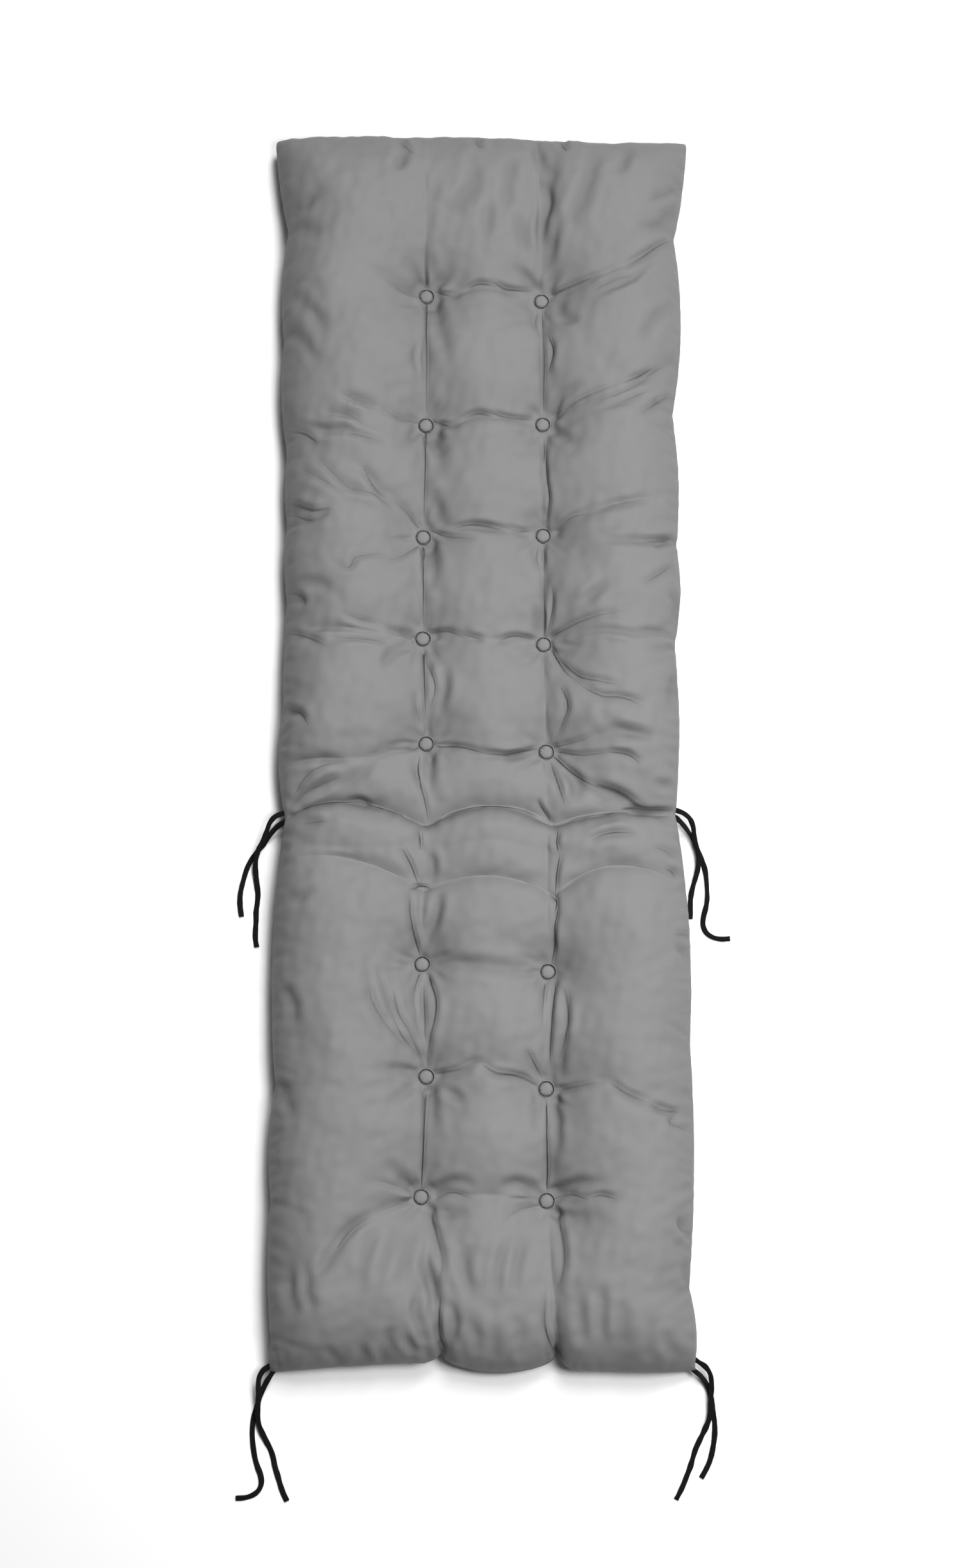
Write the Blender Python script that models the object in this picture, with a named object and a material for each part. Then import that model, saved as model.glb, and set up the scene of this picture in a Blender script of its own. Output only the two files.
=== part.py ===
"""Sun lounger cushion: a long buttoned pad with four pairs of tie strings, lying on its back.

Units are metres. +X runs from the pad's left to its right, +Y from its foot to its head and
+Z up. The origin is on the ground under the middle of the pad.
"""

import math
from typing import NamedTuple

import bmesh
import bpy
from mathutils import Vector

# Heights of the pad
SIDE_CROWN = 0.100
MIDDLE_CROWN = 0.094
TUFT_HEIGHT = 0.047
SEAM_HEIGHT = 0.034
CORNER_DROP = 0.012
CORNER_REACH = 0.050

# How the filling rounds over towards the seam, above it and below it
SIDE_ROUND = 0.072
END_ROUND = 0.080
UNDER_INSET = 0.030
UNDER_RINGS = 3

# How the cloth dips at a button and along a fold
SEAT_RADIUS = 0.0175
TUFT_REACH = 0.034
COLUMN_REACH = 0.026
CREASE_ROUND = 0.003
FOLD_SAMPLES = 10

# Spacing of the pad's facets
SEAT_STEP = 0.011
EDGE_STEP = 0.004
FOLD_STEP = 0.006
WIDEST_STEP = 0.027
STEP_GROWTH = 1.55

# Corners of the outline
CORNER_PULL = 0.0045
CORNER_ROUND = 0.010

# Buttons
BUTTON_RADIUS = 0.0100
BUTTON_HEIGHT = 0.0070
BUTTON_SIDES = 12
PIECE_GAP = 0.0003

# Tie strings
STRING_RADIUS = 0.0030
STRING_STEP = 0.013


class EdgeRow(NamedTuple):
    """A pinch of the outline, and how far the edge swells out before the next one."""

    along: float
    across: float
    swell: float


class TuftRow(NamedTuple):
    """A pair of buttons, and how deep both lengthwise creases are from here towards the head."""

    number: int
    left: tuple[float, float]
    right: tuple[float, float]
    left_crease: float
    right_crease: float


class Fold(NamedTuple):
    """A crease from its start through its bend to its end, deepest at the start.

    Lean is how much gentler its head side is than its foot side.
    """

    start: tuple[float, float]
    bend: tuple[float, float]
    end: tuple[float, float]
    depth: float
    end_depth: float
    reach: float
    lean: float = 1.0


class Tie(NamedTuple):
    """One string: its name, its height at each step of its fall, and its route on the ground."""

    name: str
    heights: tuple[float, ...]
    route: tuple[tuple[float, float], ...]


LEFT_EDGE = (
    EdgeRow(-0.844, -0.272, 0.004),
    EdgeRow(-0.806, -0.273, 0.005),
    EdgeRow(-0.624, -0.276, 0.006),
    EdgeRow(-0.475, -0.272, 0.011),
    EdgeRow(-0.121, -0.264, 0.008),
    EdgeRow(0.030, -0.269, 0.002),
    EdgeRow(0.176, -0.266, 0.004),
    EdgeRow(0.284, -0.267, 0.004),
    EdgeRow(0.384, -0.268, 0.006),
    EdgeRow(0.540, -0.275, 0.006),
    EdgeRow(0.706, -0.271, 0.004),
    EdgeRow(0.835, -0.288, 0.000),
)
RIGHT_EDGE = (
    EdgeRow(-0.841, 0.273, 0.006),
    EdgeRow(-0.737, 0.268, 0.006),
    EdgeRow(-0.420, 0.273, 0.009),
    EdgeRow(-0.117, 0.258, 0.006),
    EdgeRow(0.116, 0.260, 0.007),
    EdgeRow(0.251, 0.264, 0.006),
    EdgeRow(0.440, 0.261, 0.011),
    EdgeRow(0.692, 0.266, 0.004),
    EdgeRow(0.832, 0.284, 0.000),
)
HEAD_EDGE = (
    EdgeRow(-0.288, 0.836, 0.005),
    EdgeRow(-0.110, 0.840, 0.004),
    EdgeRow(0.090, 0.838, -0.002),
    EdgeRow(0.284, 0.833, 0.000),
)
FOOT_EDGE = (
    EdgeRow(-0.274, -0.844, -0.002),
    EdgeRow(-0.160, -0.833, -0.001),
    EdgeRow(-0.075, -0.830, 0.000),
    EdgeRow(-0.051, -0.823, 0.018),
    EdgeRow(0.095, -0.823, 0.002),
    EdgeRow(0.118, -0.839, 0.000),
    EdgeRow(0.273, -0.842, 0.000),
)

TUFT_ROWS = (
    TuftRow(8, (-0.080, -0.619), (0.083, -0.624), 0.50, 0.50),
    TuftRow(7, (-0.074, -0.464), (0.083, -0.480), 0.42, 0.44),
    TuftRow(6, (-0.080, -0.317), (0.086, -0.327), 0.30, 0.32),
    TuftRow(5, (-0.076, -0.022), (0.085, -0.033), 0.42, 0.40),
    TuftRow(4, (-0.081, 0.122), (0.082, 0.114), 0.42, 0.38),
    TuftRow(3, (-0.081, 0.263), (0.082, 0.265), 0.42, 0.38),
    TuftRow(2, (-0.078, 0.421), (0.082, 0.422), 0.42, 0.38),
    TuftRow(1, (-0.078, 0.606), (0.081, 0.599), 0.24, 0.36),
)
# Where the two lengthwise creases meet the foot and the head
COLUMN_FOOT = ((-0.830, -0.052), (-0.830, 0.096))
COLUMN_HEAD = ((0.840, -0.080), (0.836, 0.075))
FOOT_CREASE = (0.22, 0.32)

# Folds that join the two buttons of a row: row number, rise of the middle, depth
CROSS_FOLDS = (
    (8, 0.006, 0.30),
    (7, 0.027, 0.26),
    (6, 0.004, 0.12),
    (5, -0.013, 0.38),
    (4, -0.001, 0.26),
    (3, 0.007, 0.26),
    (2, 0.006, 0.26),
    (1, 0.006, 0.24),
)
CROSS_REACH = 0.020

OUTER_FOLDS = (
    Fold((-0.080, -0.619), (-0.153, -0.642), (-0.204, -0.704), 0.42, 0.20, 0.022),
    Fold((0.083, -0.624), (0.122, -0.613), (0.176, -0.617), 0.30, 0.10, 0.020),
    Fold((-0.074, -0.464), (-0.118, -0.400), (-0.152, -0.315), 0.22, 0.08, 0.020),
    Fold((0.083, -0.480), (0.165, -0.468), (0.265, -0.521), 0.30, 0.18, 0.022),
    Fold((-0.076, -0.022), (-0.163, -0.043), (-0.266, -0.055), 0.42, 0.26, 0.022),
    Fold((0.085, -0.033), (0.135, -0.026), (0.201, -0.003), 0.28, 0.08, 0.020),
    Fold((0.085, -0.033), (0.147, -0.092), (0.254, -0.117), 0.46, 0.60, 0.020, 1.5),
    Fold((-0.081, 0.122), (-0.156, 0.126), (-0.248, 0.130), 0.28, 0.16, 0.022),
    Fold((-0.081, 0.122), (-0.110, 0.138), (-0.190, 0.160), 0.20, 0.08, 0.018),
    Fold((0.082, 0.114), (0.136, 0.134), (0.207, 0.158), 0.28, 0.10, 0.020),
    Fold((0.082, 0.114), (0.131, 0.056), (0.218, 0.028), 0.28, 0.10, 0.022),
    Fold((-0.081, 0.263), (-0.153, 0.335), (-0.225, 0.373), 0.36, 0.18, 0.024),
    Fold((-0.081, 0.263), (-0.130, 0.240), (-0.215, 0.238), 0.22, 0.08, 0.020),
    Fold((0.082, 0.265), (0.146, 0.295), (0.232, 0.310), 0.34, 0.14, 0.022),
    Fold((-0.078, 0.421), (-0.141, 0.434), (-0.198, 0.451), 0.30, 0.10, 0.022),
    Fold((0.082, 0.422), (0.155, 0.452), (0.252, 0.490), 0.36, 0.18, 0.024),
    Fold((-0.078, 0.606), (-0.098, 0.607), (-0.133, 0.621), 0.28, 0.06, 0.020),
    Fold((0.081, 0.599), (0.170, 0.627), (0.262, 0.679), 0.36, 0.20, 0.024),
)

# The hip crease, where the back part meets the seat, and the edge of the seat's second roll
HIP_FOLDS = (
    Fold((-0.262, -0.123), (-0.179, -0.103), (-0.076, -0.135), 0.80, 0.84, 0.019, 2.0),
    Fold((-0.076, -0.135), (0.011, -0.108), (0.096, -0.134), 0.84, 0.84, 0.019, 2.0),
    Fold((0.096, -0.134), (0.168, -0.118), (0.256, -0.120), 0.84, 0.80, 0.019, 2.0),
)
ROLL_FOLDS = (
    Fold((-0.240, -0.178), (-0.161, -0.184), (-0.078, -0.221), 0.12, 0.34, 0.018, 1.5),
    Fold((-0.078, -0.221), (0.011, -0.202), (0.096, -0.229), 0.36, 0.36, 0.018, 1.5),
    Fold((0.096, -0.229), (0.167, -0.190), (0.262, -0.211), 0.36, 0.34, 0.018, 1.5),
)
SHALLOW_FOLDS = (
    Fold((-0.236, -0.161), (-0.162, -0.165), (-0.106, -0.162), 0.12, 0.12, 0.014),
    Fold((-0.064, -0.167), (0.011, -0.156), (0.093, -0.171), 0.16, 0.16, 0.014),
    Fold((0.125, -0.160), (0.176, -0.147), (0.218, -0.150), 0.12, 0.12, 0.014),
)

# A string that crosses over its partner stays up for longer than the one beneath it
OVER_HIP = (0.034, 0.0318, 0.0285, 0.0245, 0.0203, 0.0165, 0.0135, 0.0110, 0.0080, 0.0052, 0.0036)
UNDER_HIP = (0.034, 0.0250, 0.0160, 0.0092, 0.0052, 0.0035)
OVER_FOOT = (0.022, 0.0215, 0.0205, 0.0190, 0.0165, 0.0135, 0.0114, 0.0102, 0.0078, 0.0050, 0.0036)
UNDER_FOOT = (0.022, 0.0160, 0.0105, 0.0072, 0.0048, 0.0034)
GROUND_HEIGHT = 0.0033

TIES = (
    Tie(
        "tie_hip_left_over",
        OVER_HIP,
        (
            (-0.2685, -0.1133), (-0.2790, -0.1178), (-0.2862, -0.1263), (-0.2903, -0.1370),
            (-0.2951, -0.1480), (-0.3009, -0.1585), (-0.3045, -0.1699), (-0.3057, -0.1818),
            (-0.3051, -0.1940), (-0.3038, -0.2060), (-0.3025, -0.2180), (-0.3032, -0.2301),
            (-0.3046, -0.2419), (-0.3044, -0.2540), (-0.3050, -0.2661), (-0.3050, -0.2782),
            (-0.3031, -0.2902),
        ),
    ),
    Tie(
        "tie_hip_left_under",
        UNDER_HIP,
        (
            (-0.2672, -0.1257), (-0.2760, -0.1300), (-0.2838, -0.1365), (-0.2905, -0.1440),
            (-0.2968, -0.1521), (-0.3035, -0.1600), (-0.3099, -0.1684), (-0.3152, -0.1774),
            (-0.3190, -0.1873), (-0.3218, -0.1975), (-0.3243, -0.2077), (-0.3262, -0.2180),
            (-0.3266, -0.2284), (-0.3257, -0.2389), (-0.3239, -0.2493),
        ),
    ),
    Tie(
        "tie_hip_right_over",
        OVER_HIP,
        (
            (0.2612, -0.1097), (0.2700, -0.1130), (0.2782, -0.1198), (0.2828, -0.1300),
            (0.2844, -0.1408), (0.2866, -0.1518), (0.2897, -0.1626), (0.2912, -0.1738),
            (0.2899, -0.1853), (0.2870, -0.1965), (0.2837, -0.2075), (0.2810, -0.2183),
            (0.2796, -0.2294), (0.2796, -0.2409), (0.2790, -0.2524),
        ),
    ),
    Tie(
        "tie_hip_right_under",
        UNDER_HIP,
        (
            (0.2618, -0.1215), (0.2695, -0.1275), (0.2772, -0.1358), (0.2836, -0.1453),
            (0.2888, -0.1559), (0.2935, -0.1667), (0.2978, -0.1778), (0.3007, -0.1893),
            (0.3019, -0.2013), (0.3025, -0.2134), (0.3024, -0.2254), (0.3003, -0.2371),
            (0.2972, -0.2485), (0.2962, -0.2601), (0.3004, -0.2704), (0.3092, -0.2768),
            (0.3202, -0.2792), (0.3321, -0.2786),
        ),
    ),
    Tie(
        "tie_foot_left_over",
        OVER_FOOT,
        (
            (-0.2760, -0.8345), (-0.2845, -0.8408), (-0.2897, -0.8506), (-0.2904, -0.8626),
            (-0.2902, -0.8745), (-0.2909, -0.8864), (-0.2914, -0.8981), (-0.2895, -0.9095),
            (-0.2854, -0.9201), (-0.2804, -0.9307), (-0.2751, -0.9409), (-0.2712, -0.9517),
            (-0.2686, -0.9632), (-0.2651, -0.9740), (-0.2617, -0.9850), (-0.2576, -0.9959),
            (-0.2526, -1.0062),
        ),
    ),
    Tie(
        "tie_foot_left_under",
        UNDER_FOOT,
        (
            (-0.2742, -0.8462), (-0.2800, -0.8550), (-0.2852, -0.8652), (-0.2893, -0.8764),
            (-0.2930, -0.8876), (-0.2963, -0.8984), (-0.2984, -0.9092), (-0.2989, -0.9201),
            (-0.2982, -0.9311), (-0.2967, -0.9421), (-0.2946, -0.9530), (-0.2912, -0.9634),
            (-0.2873, -0.9731), (-0.2860, -0.9834), (-0.2895, -0.9927), (-0.2974, -0.9989),
            (-0.3074, -1.0019), (-0.3187, -1.0026),
        ),
    ),
    Tie(
        "tie_foot_right_over",
        OVER_FOOT,
        (
            (0.2795, -0.8293), (0.2880, -0.8350), (0.2945, -0.8442), (0.2966, -0.8551),
            (0.2964, -0.8666), (0.2963, -0.8782), (0.2960, -0.8897), (0.2942, -0.9009),
            (0.2905, -0.9113), (0.2858, -0.9216), (0.2807, -0.9318), (0.2759, -0.9420),
            (0.2724, -0.9527), (0.2689, -0.9636), (0.2648, -0.9737), (0.2605, -0.9843),
            (0.2557, -0.9943), (0.2502, -1.0041),
        ),
    ),
    Tie(
        "tie_foot_right_under",
        UNDER_FOOT,
        (
            (0.2762, -0.8420), (0.2822, -0.8470), (0.2880, -0.8540), (0.2932, -0.8627),
            (0.2967, -0.8736), (0.2985, -0.8845), (0.2999, -0.8952), (0.3012, -0.9058),
            (0.3016, -0.9165), (0.3008, -0.9271), (0.2991, -0.9377), (0.2968, -0.9484),
            (0.2934, -0.9585), (0.2886, -0.9679), (0.2831, -0.9773),
        ),
    ),
)


def read_rows(rows, at):
    """Reads (place, value) rows in straight lines, flat beyond both ends."""
    if at <= rows[0][0]:
        return rows[0][1]
    for (first, value), (second, next_value) in zip(rows, rows[1:]):
        if at <= second:
            return value + (next_value - value) * (at - first) / (second - first)
    return rows[-1][1]


def read_edge(rows, at, outward):
    """Reads an edge table: straight from pinch to pinch, with a swell between."""
    at = min(max(at, rows[0].along), rows[-1].along)
    for row, following in zip(rows, rows[1:]):
        if at <= following.along:
            break
    part = (at - row.along) / (following.along - row.along)
    straight = row.across + (following.across - row.across) * part
    return straight + outward * row.swell * math.sin(math.pi * part) ** 0.8


def left_edge(y):
    return read_edge(LEFT_EDGE, y, -1)


def right_edge(y):
    return read_edge(RIGHT_EDGE, y, 1)


def head_edge(x):
    return read_edge(HEAD_EDGE, x, 1)


def foot_edge(x):
    return read_edge(FOOT_EDGE, x, -1)


def column_rows(side):
    """The (y, x) rows of the lengthwise crease through a column of buttons."""
    buttons = [(row[1 + side][1], row[1 + side][0]) for row in TUFT_ROWS]
    return [COLUMN_FOOT[side], *buttons, COLUMN_HEAD[side]]


def crease_rows(side):
    """The (y, depth) rows of that crease, even between two buttons."""
    rows = [(-0.90, FOOT_CREASE[side])]
    for row in TUFT_ROWS:
        y = row[1 + side][1]
        rows += [(y - SEAT_STEP, rows[-1][1]), (y + SEAT_STEP, row[3 + side])]
    return rows


COLUMN_LINES = (column_rows(0), column_rows(1))
CREASE_LINES = (crease_rows(0), crease_rows(1))


def column_x(side, y):
    return read_rows(COLUMN_LINES[side], y)


def curve_point(fold, part):
    """A point of the even curve through a fold's start, bend and end."""
    start, bend, end = Vector(fold.start), Vector(fold.bend), Vector(fold.end)
    pull = 2 * bend - (start + end) / 2
    return start.lerp(pull, part).lerp(pull.lerp(end, part), part)


def fold_points(fold):
    return [curve_point(fold, step / FOLD_SAMPLES) for step in range(FOLD_SAMPLES + 1)]


def cross_fold(number, rise, depth):
    """The fold between the two buttons of a row."""
    row = next(row for row in TUFT_ROWS if row.number == number)
    middle = (Vector(row.left) + Vector(row.right)) / 2 + Vector((0, rise))
    return Fold(row.left, tuple(middle), row.right, depth, depth, CROSS_REACH)


FOLDS = (
    *(cross_fold(*row) for row in CROSS_FOLDS),
    *OUTER_FOLDS,
    *HIP_FOLDS,
    *ROLL_FOLDS,
    *SHALLOW_FOLDS,
)
FOLD_LINES = [(fold, fold_points(fold)) for fold in FOLDS]


def falloff(distance, reach):
    """1 on a crease, falling to 0 away from it, with a small round at its bottom."""
    rounded = math.hypot(distance, CREASE_ROUND) - CREASE_ROUND
    return math.exp(-rounded / reach)


def fold_dip(fold, line, place):
    """How much of the crown a fold takes away at a place."""
    nearest = None
    for step, (first, second) in enumerate(zip(line, line[1:])):
        along = second - first
        part = min(max((place - first).dot(along) / along.length_squared, 0), 1)
        offset = place - first.lerp(second, part)
        if nearest is None or offset.length < nearest[0]:
            head_side = offset.y * along.x - offset.x * along.y > 0
            nearest = (offset.length, (step + part) / FOLD_SAMPLES, head_side)
    distance, part, head_side = nearest
    reach = fold.reach * (fold.lean if head_side else 1 / fold.lean)
    depth = fold.depth + (fold.end_depth - fold.depth) * part
    return depth * falloff(distance, reach)


def rounding(distance, reach):
    """A quarter ellipse, upright at the seam and level at its reach."""
    part = 1 - min(max(distance / reach, 0), 1)
    return math.sqrt(1 - part * part)


def edge_distances(x, y):
    """Distances to the nearer long side and to the nearer end."""
    side = min(x - left_edge(y), right_edge(y) - x)
    end = min(y - foot_edge(x), head_edge(x) - y)
    return max(side, 0), max(end, 0)


def seam_height(x, y):
    """The seam's height, lower at the four corners."""
    corner = math.hypot(*edge_distances(x, y))
    return SEAM_HEIGHT - CORNER_DROP * math.exp(-corner / CORNER_REACH)


def crown_height(x, y):
    """The filling's height with no button or fold, a little lower in the middle channel."""
    inside = min(x - column_x(0, y), column_x(1, y) - x)
    share = min(max(0.5 + inside / (2 * COLUMN_REACH), 0), 1)
    return SIDE_CROWN + (MIDDLE_CROWN - SIDE_CROWN) * share


def top_height(x, y):
    """The height of the pad's upper face."""
    place = Vector((x, y))
    kept = 1
    for side in (0, 1):
        depth = read_rows(CREASE_LINES[side], y)
        kept *= 1 - depth * falloff(x - column_x(side, y), COLUMN_REACH)
    for row in TUFT_ROWS:
        for button in (row.left, row.right):
            away = max((place - Vector(button)).length - SEAT_RADIUS, 0)
            kept *= 1 - math.exp(-away / TUFT_REACH)
    for fold, line in FOLD_LINES:
        kept *= 1 - fold_dip(fold, line, place)
    full = TUFT_HEIGHT + (crown_height(x, y) - TUFT_HEIGHT) * kept
    side, end = edge_distances(x, y)
    seam = seam_height(x, y)
    return seam + (full - seam) * rounding(side, SIDE_ROUND) * rounding(end, END_ROUND)


def graded(length, first, last):
    """Places from 0 to 1 along a length, close together at both ends and wider between."""
    front, back = [first], [last]
    while sum(front) + sum(back) < length:
        shorter = front if front[-1] <= back[-1] else back
        shorter.append(min(shorter[-1] * STEP_GROWTH, WIDEST_STEP))
    steps = [*front[1:], *reversed(back[1:])]
    shrink = (length - first - last) / sum(steps)
    places = [0, first]
    for step in steps:
        places.append(places[-1] + step * shrink)
    return [place / length for place in [*places, length]]


def row_lines():
    """The lines across the pad that its facets follow, foot first, with the step beside each."""
    hip = [tuple(point) for fold in HIP_FOLDS for point in fold_points(fold)]
    roll = [tuple(point) for fold in ROLL_FOLDS for point in fold_points(fold)]
    tufts = [((row.left, row.right), SEAT_STEP) for row in TUFT_ROWS]
    curved = [(roll, FOLD_STEP), (hip, FOLD_STEP)]
    inner = [*tufts[:3], *curved, *tufts[3:]]
    lines = [(lambda x, rows=rows: read_rows(rows, x), step) for rows, step in inner]
    return [(foot_edge, EDGE_STEP), *lines, (head_edge, EDGE_STEP)]


def column_lines():
    """The same for the lines along the pad, left side first."""
    return [
        (left_edge, EDGE_STEP),
        (lambda y: column_x(0, y), SEAT_STEP),
        (lambda y: column_x(1, y), SEAT_STEP),
        (right_edge, EDGE_STEP),
    ]


def stations(lines):
    """(line, next line, part of the way between them) for each row or column of points."""
    places = []
    for (line, step), (following, next_step) in zip(lines, lines[1:]):
        gap = following(0) - line(0)
        places += [(line, following, part) for part in graded(gap, step, next_step)[:-1]]
    places.append((lines[-2][0], lines[-1][0], 1))
    return places


def between(station, at):
    line, following, part = station
    return line(at) + (following(at) - line(at)) * part


def outline_pull(x, y):
    """Moves a point near one of the four corners inwards, which rounds the corner."""
    pull = CORNER_PULL * math.exp(-math.hypot(*edge_distances(x, y)) / CORNER_ROUND)
    return x - math.copysign(pull, x), y - math.copysign(pull, y)


def top_point(column, row):
    """Where a column and a row of points cross, on the pad's upper face."""
    x = y = 0
    for _ in range(4):
        y = between(row, x)
        x = between(column, y)
    height = top_height(x, y)
    return Vector((*outline_pull(x, y), height))


def material(name, colour, roughness):
    made = bpy.data.materials.new(name)
    made.use_nodes = True
    shader = made.node_tree.nodes["Principled BSDF"]
    shader.inputs["Base Color"].default_value = (*colour, 1)
    shader.inputs["Roughness"].default_value = roughness
    shader.inputs["Metallic"].default_value = 0
    made.diffuse_color = (*colour, 1)
    return made


def add_object(name, data, finish, parent):
    item = bpy.data.objects.new(name, data)
    if not data.materials:
        data.materials.append(finish)
    bpy.context.scene.collection.objects.link(item)
    item.parent = parent
    return item


def build_cushion(finish, parent):
    """The filled pad: its buttoned upper face, its rounded sides and its flat back."""
    mesh = bmesh.new()
    columns, rows = stations(column_lines()), stations(row_lines())
    grid = [[mesh.verts.new(top_point(column, row)) for column in columns] for row in rows]
    for lower, upper in zip(grid, grid[1:]):
        for i in range(len(columns) - 1):
            mesh.faces.new((lower[i], lower[i + 1], upper[i + 1], upper[i]))

    right = [row[-1] for row in grid[1:]]
    left = [row[0] for row in grid[-2:0:-1]]
    ring = [*grid[0], *right, *reversed(grid[-1][:-1]), *left]
    seam = [point.co.copy() for point in ring]
    half_width = max(point.x for point in seam)
    half_length = max(point.y for point in seam)
    for step in range(1, UNDER_RINGS + 1):
        turn = math.pi / 2 * step / UNDER_RINGS
        inset = UNDER_INSET * (1 - math.cos(turn))
        across, along = 1 - inset / half_width, 1 - inset / half_length
        lowering = 0 if step == UNDER_RINGS else 1 - math.sin(turn)
        inner = [mesh.verts.new((p.x * across, p.y * along, p.z * lowering)) for p in seam]
        for i, corner in enumerate(ring):
            j = (i + 1) % len(ring)
            mesh.faces.new((inner[i], inner[j], ring[j], corner))
        ring = inner
    mesh.faces.new(reversed(ring))

    data = bpy.data.meshes.new("cushion")
    mesh.to_mesh(data)
    mesh.free()
    data.shade_smooth()
    data.set_sharp_from_angle(angle=math.radians(60))
    add_object("cushion", data, finish, parent)


def build_buttons(finish, parent):
    """Low domes covered in the pad's cloth, one in each tuft, all from one turned profile."""
    profile = (
        (0.86 * BUTTON_RADIUS, 0),
        (BUTTON_RADIUS, 0.30 * BUTTON_HEIGHT),
        (0.86 * BUTTON_RADIUS, 0.68 * BUTTON_HEIGHT),
        (0.50 * BUTTON_RADIUS, 0.93 * BUTTON_HEIGHT),
    )
    mesh = bmesh.new()
    bottom = mesh.verts.new((0, 0, 0))
    top = mesh.verts.new((0, 0, BUTTON_HEIGHT))
    rings = []
    for radius, height in profile:
        turns = [math.tau * i / BUTTON_SIDES for i in range(BUTTON_SIDES)]
        ring = [(radius * math.cos(t), radius * math.sin(t), height) for t in turns]
        rings.append([mesh.verts.new(point) for point in ring])
    for i in range(BUTTON_SIDES):
        j = (i + 1) % BUTTON_SIDES
        mesh.faces.new((bottom, rings[0][j], rings[0][i]))
        mesh.faces.new((top, rings[-1][i], rings[-1][j]))
        for lower, upper in zip(rings, rings[1:]):
            mesh.faces.new((lower[i], lower[j], upper[j], upper[i]))
    data = bpy.data.meshes.new("button")
    mesh.to_mesh(data)
    mesh.free()
    data.shade_smooth()
    data.set_sharp_from_angle(angle=math.radians(60))
    for row in TUFT_ROWS:
        for side, place in (("left", row.left), ("right", row.right)):
            button = add_object(f"button_{side}_{row.number}", data, finish, parent)
            button.location = (*place, TUFT_HEIGHT + PIECE_GAP)


def smooth_route(points):
    """Points at even steps along the smooth curve through a string's own points."""
    fine = []
    ends = [2 * points[0] - points[1], *points, 2 * points[-1] - points[-2]]
    for a, b, c, d in zip(ends, ends[1:], ends[2:], ends[3:]):
        for part in (0, 0.25, 0.5, 0.75):
            curve = (2 * b, c - a, 2 * a - 5 * b + 4 * c - d, 3 * b - a - 3 * c + d)
            fine.append(0.5 * sum((term * part**n for n, term in enumerate(curve)), Vector()))
    fine.append(points[-1])
    lengths = [0]
    for first, second in zip(fine, fine[1:]):
        lengths.append(lengths[-1] + (second - first).length)
    count = round(lengths[-1] / STRING_STEP)
    rows = list(zip(lengths, fine))
    return [read_rows(rows, lengths[-1] * i / count) for i in range(count + 1)]


def build_tie(tie, finish, parent):
    """One string: out of the seam, down to the ground and along it to its bare end."""
    falls = [*tie.heights, *[GROUND_HEIGHT] * len(tie.route)]
    points = [Vector((x, y, z)) for (x, y), z in zip(tie.route, falls)]
    curve = bpy.data.curves.new(tie.name, "CURVE")
    curve.dimensions = "3D"
    curve.bevel_depth = STRING_RADIUS
    curve.bevel_resolution = 2
    curve.use_fill_caps = True
    spline = curve.splines.new("POLY")
    route = smooth_route(points)
    spline.points.add(len(route) - 1)
    for knot, place in zip(spline.points, route):
        knot.co = (*place, 1)
    add_object(tie.name, curve, finish, parent)


def main():
    for item in list(bpy.data.objects):
        bpy.data.objects.remove(item, do_unlink=True)
    pad = bpy.data.objects.new("sun_lounger_cushion", None)
    bpy.context.scene.collection.objects.link(pad)
    build_cushion(material("grey_cloth", (0.27, 0.27, 0.27), 0.72), pad)
    build_buttons(material("grey_button_cloth", (0.26, 0.26, 0.26), 0.68), pad)
    string = material("black_string", (0.012, 0.012, 0.013), 0.85)
    for tie in TIES:
        build_tie(tie, string, pad)


main()
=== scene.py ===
"""The looks of a sun lounger cushion: a long buttoned grey pad with black tie strings."""

import logging
import math
import random
from dataclasses import dataclass, field
from enum import Enum
from typing import Any, Callable, NamedTuple

import bpy
import numpy as np
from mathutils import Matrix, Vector


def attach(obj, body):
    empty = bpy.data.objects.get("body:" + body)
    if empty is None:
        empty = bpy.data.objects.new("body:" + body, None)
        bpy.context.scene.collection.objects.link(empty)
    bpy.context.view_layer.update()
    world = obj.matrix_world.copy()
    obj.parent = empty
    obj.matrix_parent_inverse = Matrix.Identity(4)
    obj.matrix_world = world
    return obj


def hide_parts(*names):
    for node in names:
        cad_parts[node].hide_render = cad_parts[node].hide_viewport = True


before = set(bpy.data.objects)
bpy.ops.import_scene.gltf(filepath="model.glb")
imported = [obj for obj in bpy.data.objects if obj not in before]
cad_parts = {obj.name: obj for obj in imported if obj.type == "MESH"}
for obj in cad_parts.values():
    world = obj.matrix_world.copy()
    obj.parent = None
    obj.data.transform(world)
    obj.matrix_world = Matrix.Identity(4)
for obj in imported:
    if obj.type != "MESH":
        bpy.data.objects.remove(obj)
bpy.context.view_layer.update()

REPORT = logging.getLogger("sun_lounger_cushion")

MM = 0.001
SEAT_STEP = 0.011
FOLD_SAMPLES = 10
ROUTE_STEPS = 6
Array = np.ndarray
Line = Callable[[Array], Array]


class Form(Enum):
    """The section of a wrinkle: how sharply it dips and how high its lips stand."""

    SLOT = "a tight slot with no lips"
    CREASE = "a sharp dip with a tight lip on one side"
    VALLEY = "a round dip between two low swells"


class Fade(Enum):
    """How a wrinkle's depth changes from its first point to its last."""

    ENDING = "deepest at its start"
    FREE = "deepest at its middle"
    EVEN = "as deep all along"


class Side(Enum):
    """The pad's left or right, seen from above with its head up."""

    LEFT = 0
    RIGHT = 1


SLOT, CREASE, VALLEY = Form
ENDING, FREE, EVEN = Fade


class EdgeRow(NamedTuple):
    """A pinch of the outline, and how far the edge swells out before the next one."""

    along: float
    across: float
    swell: float


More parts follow.
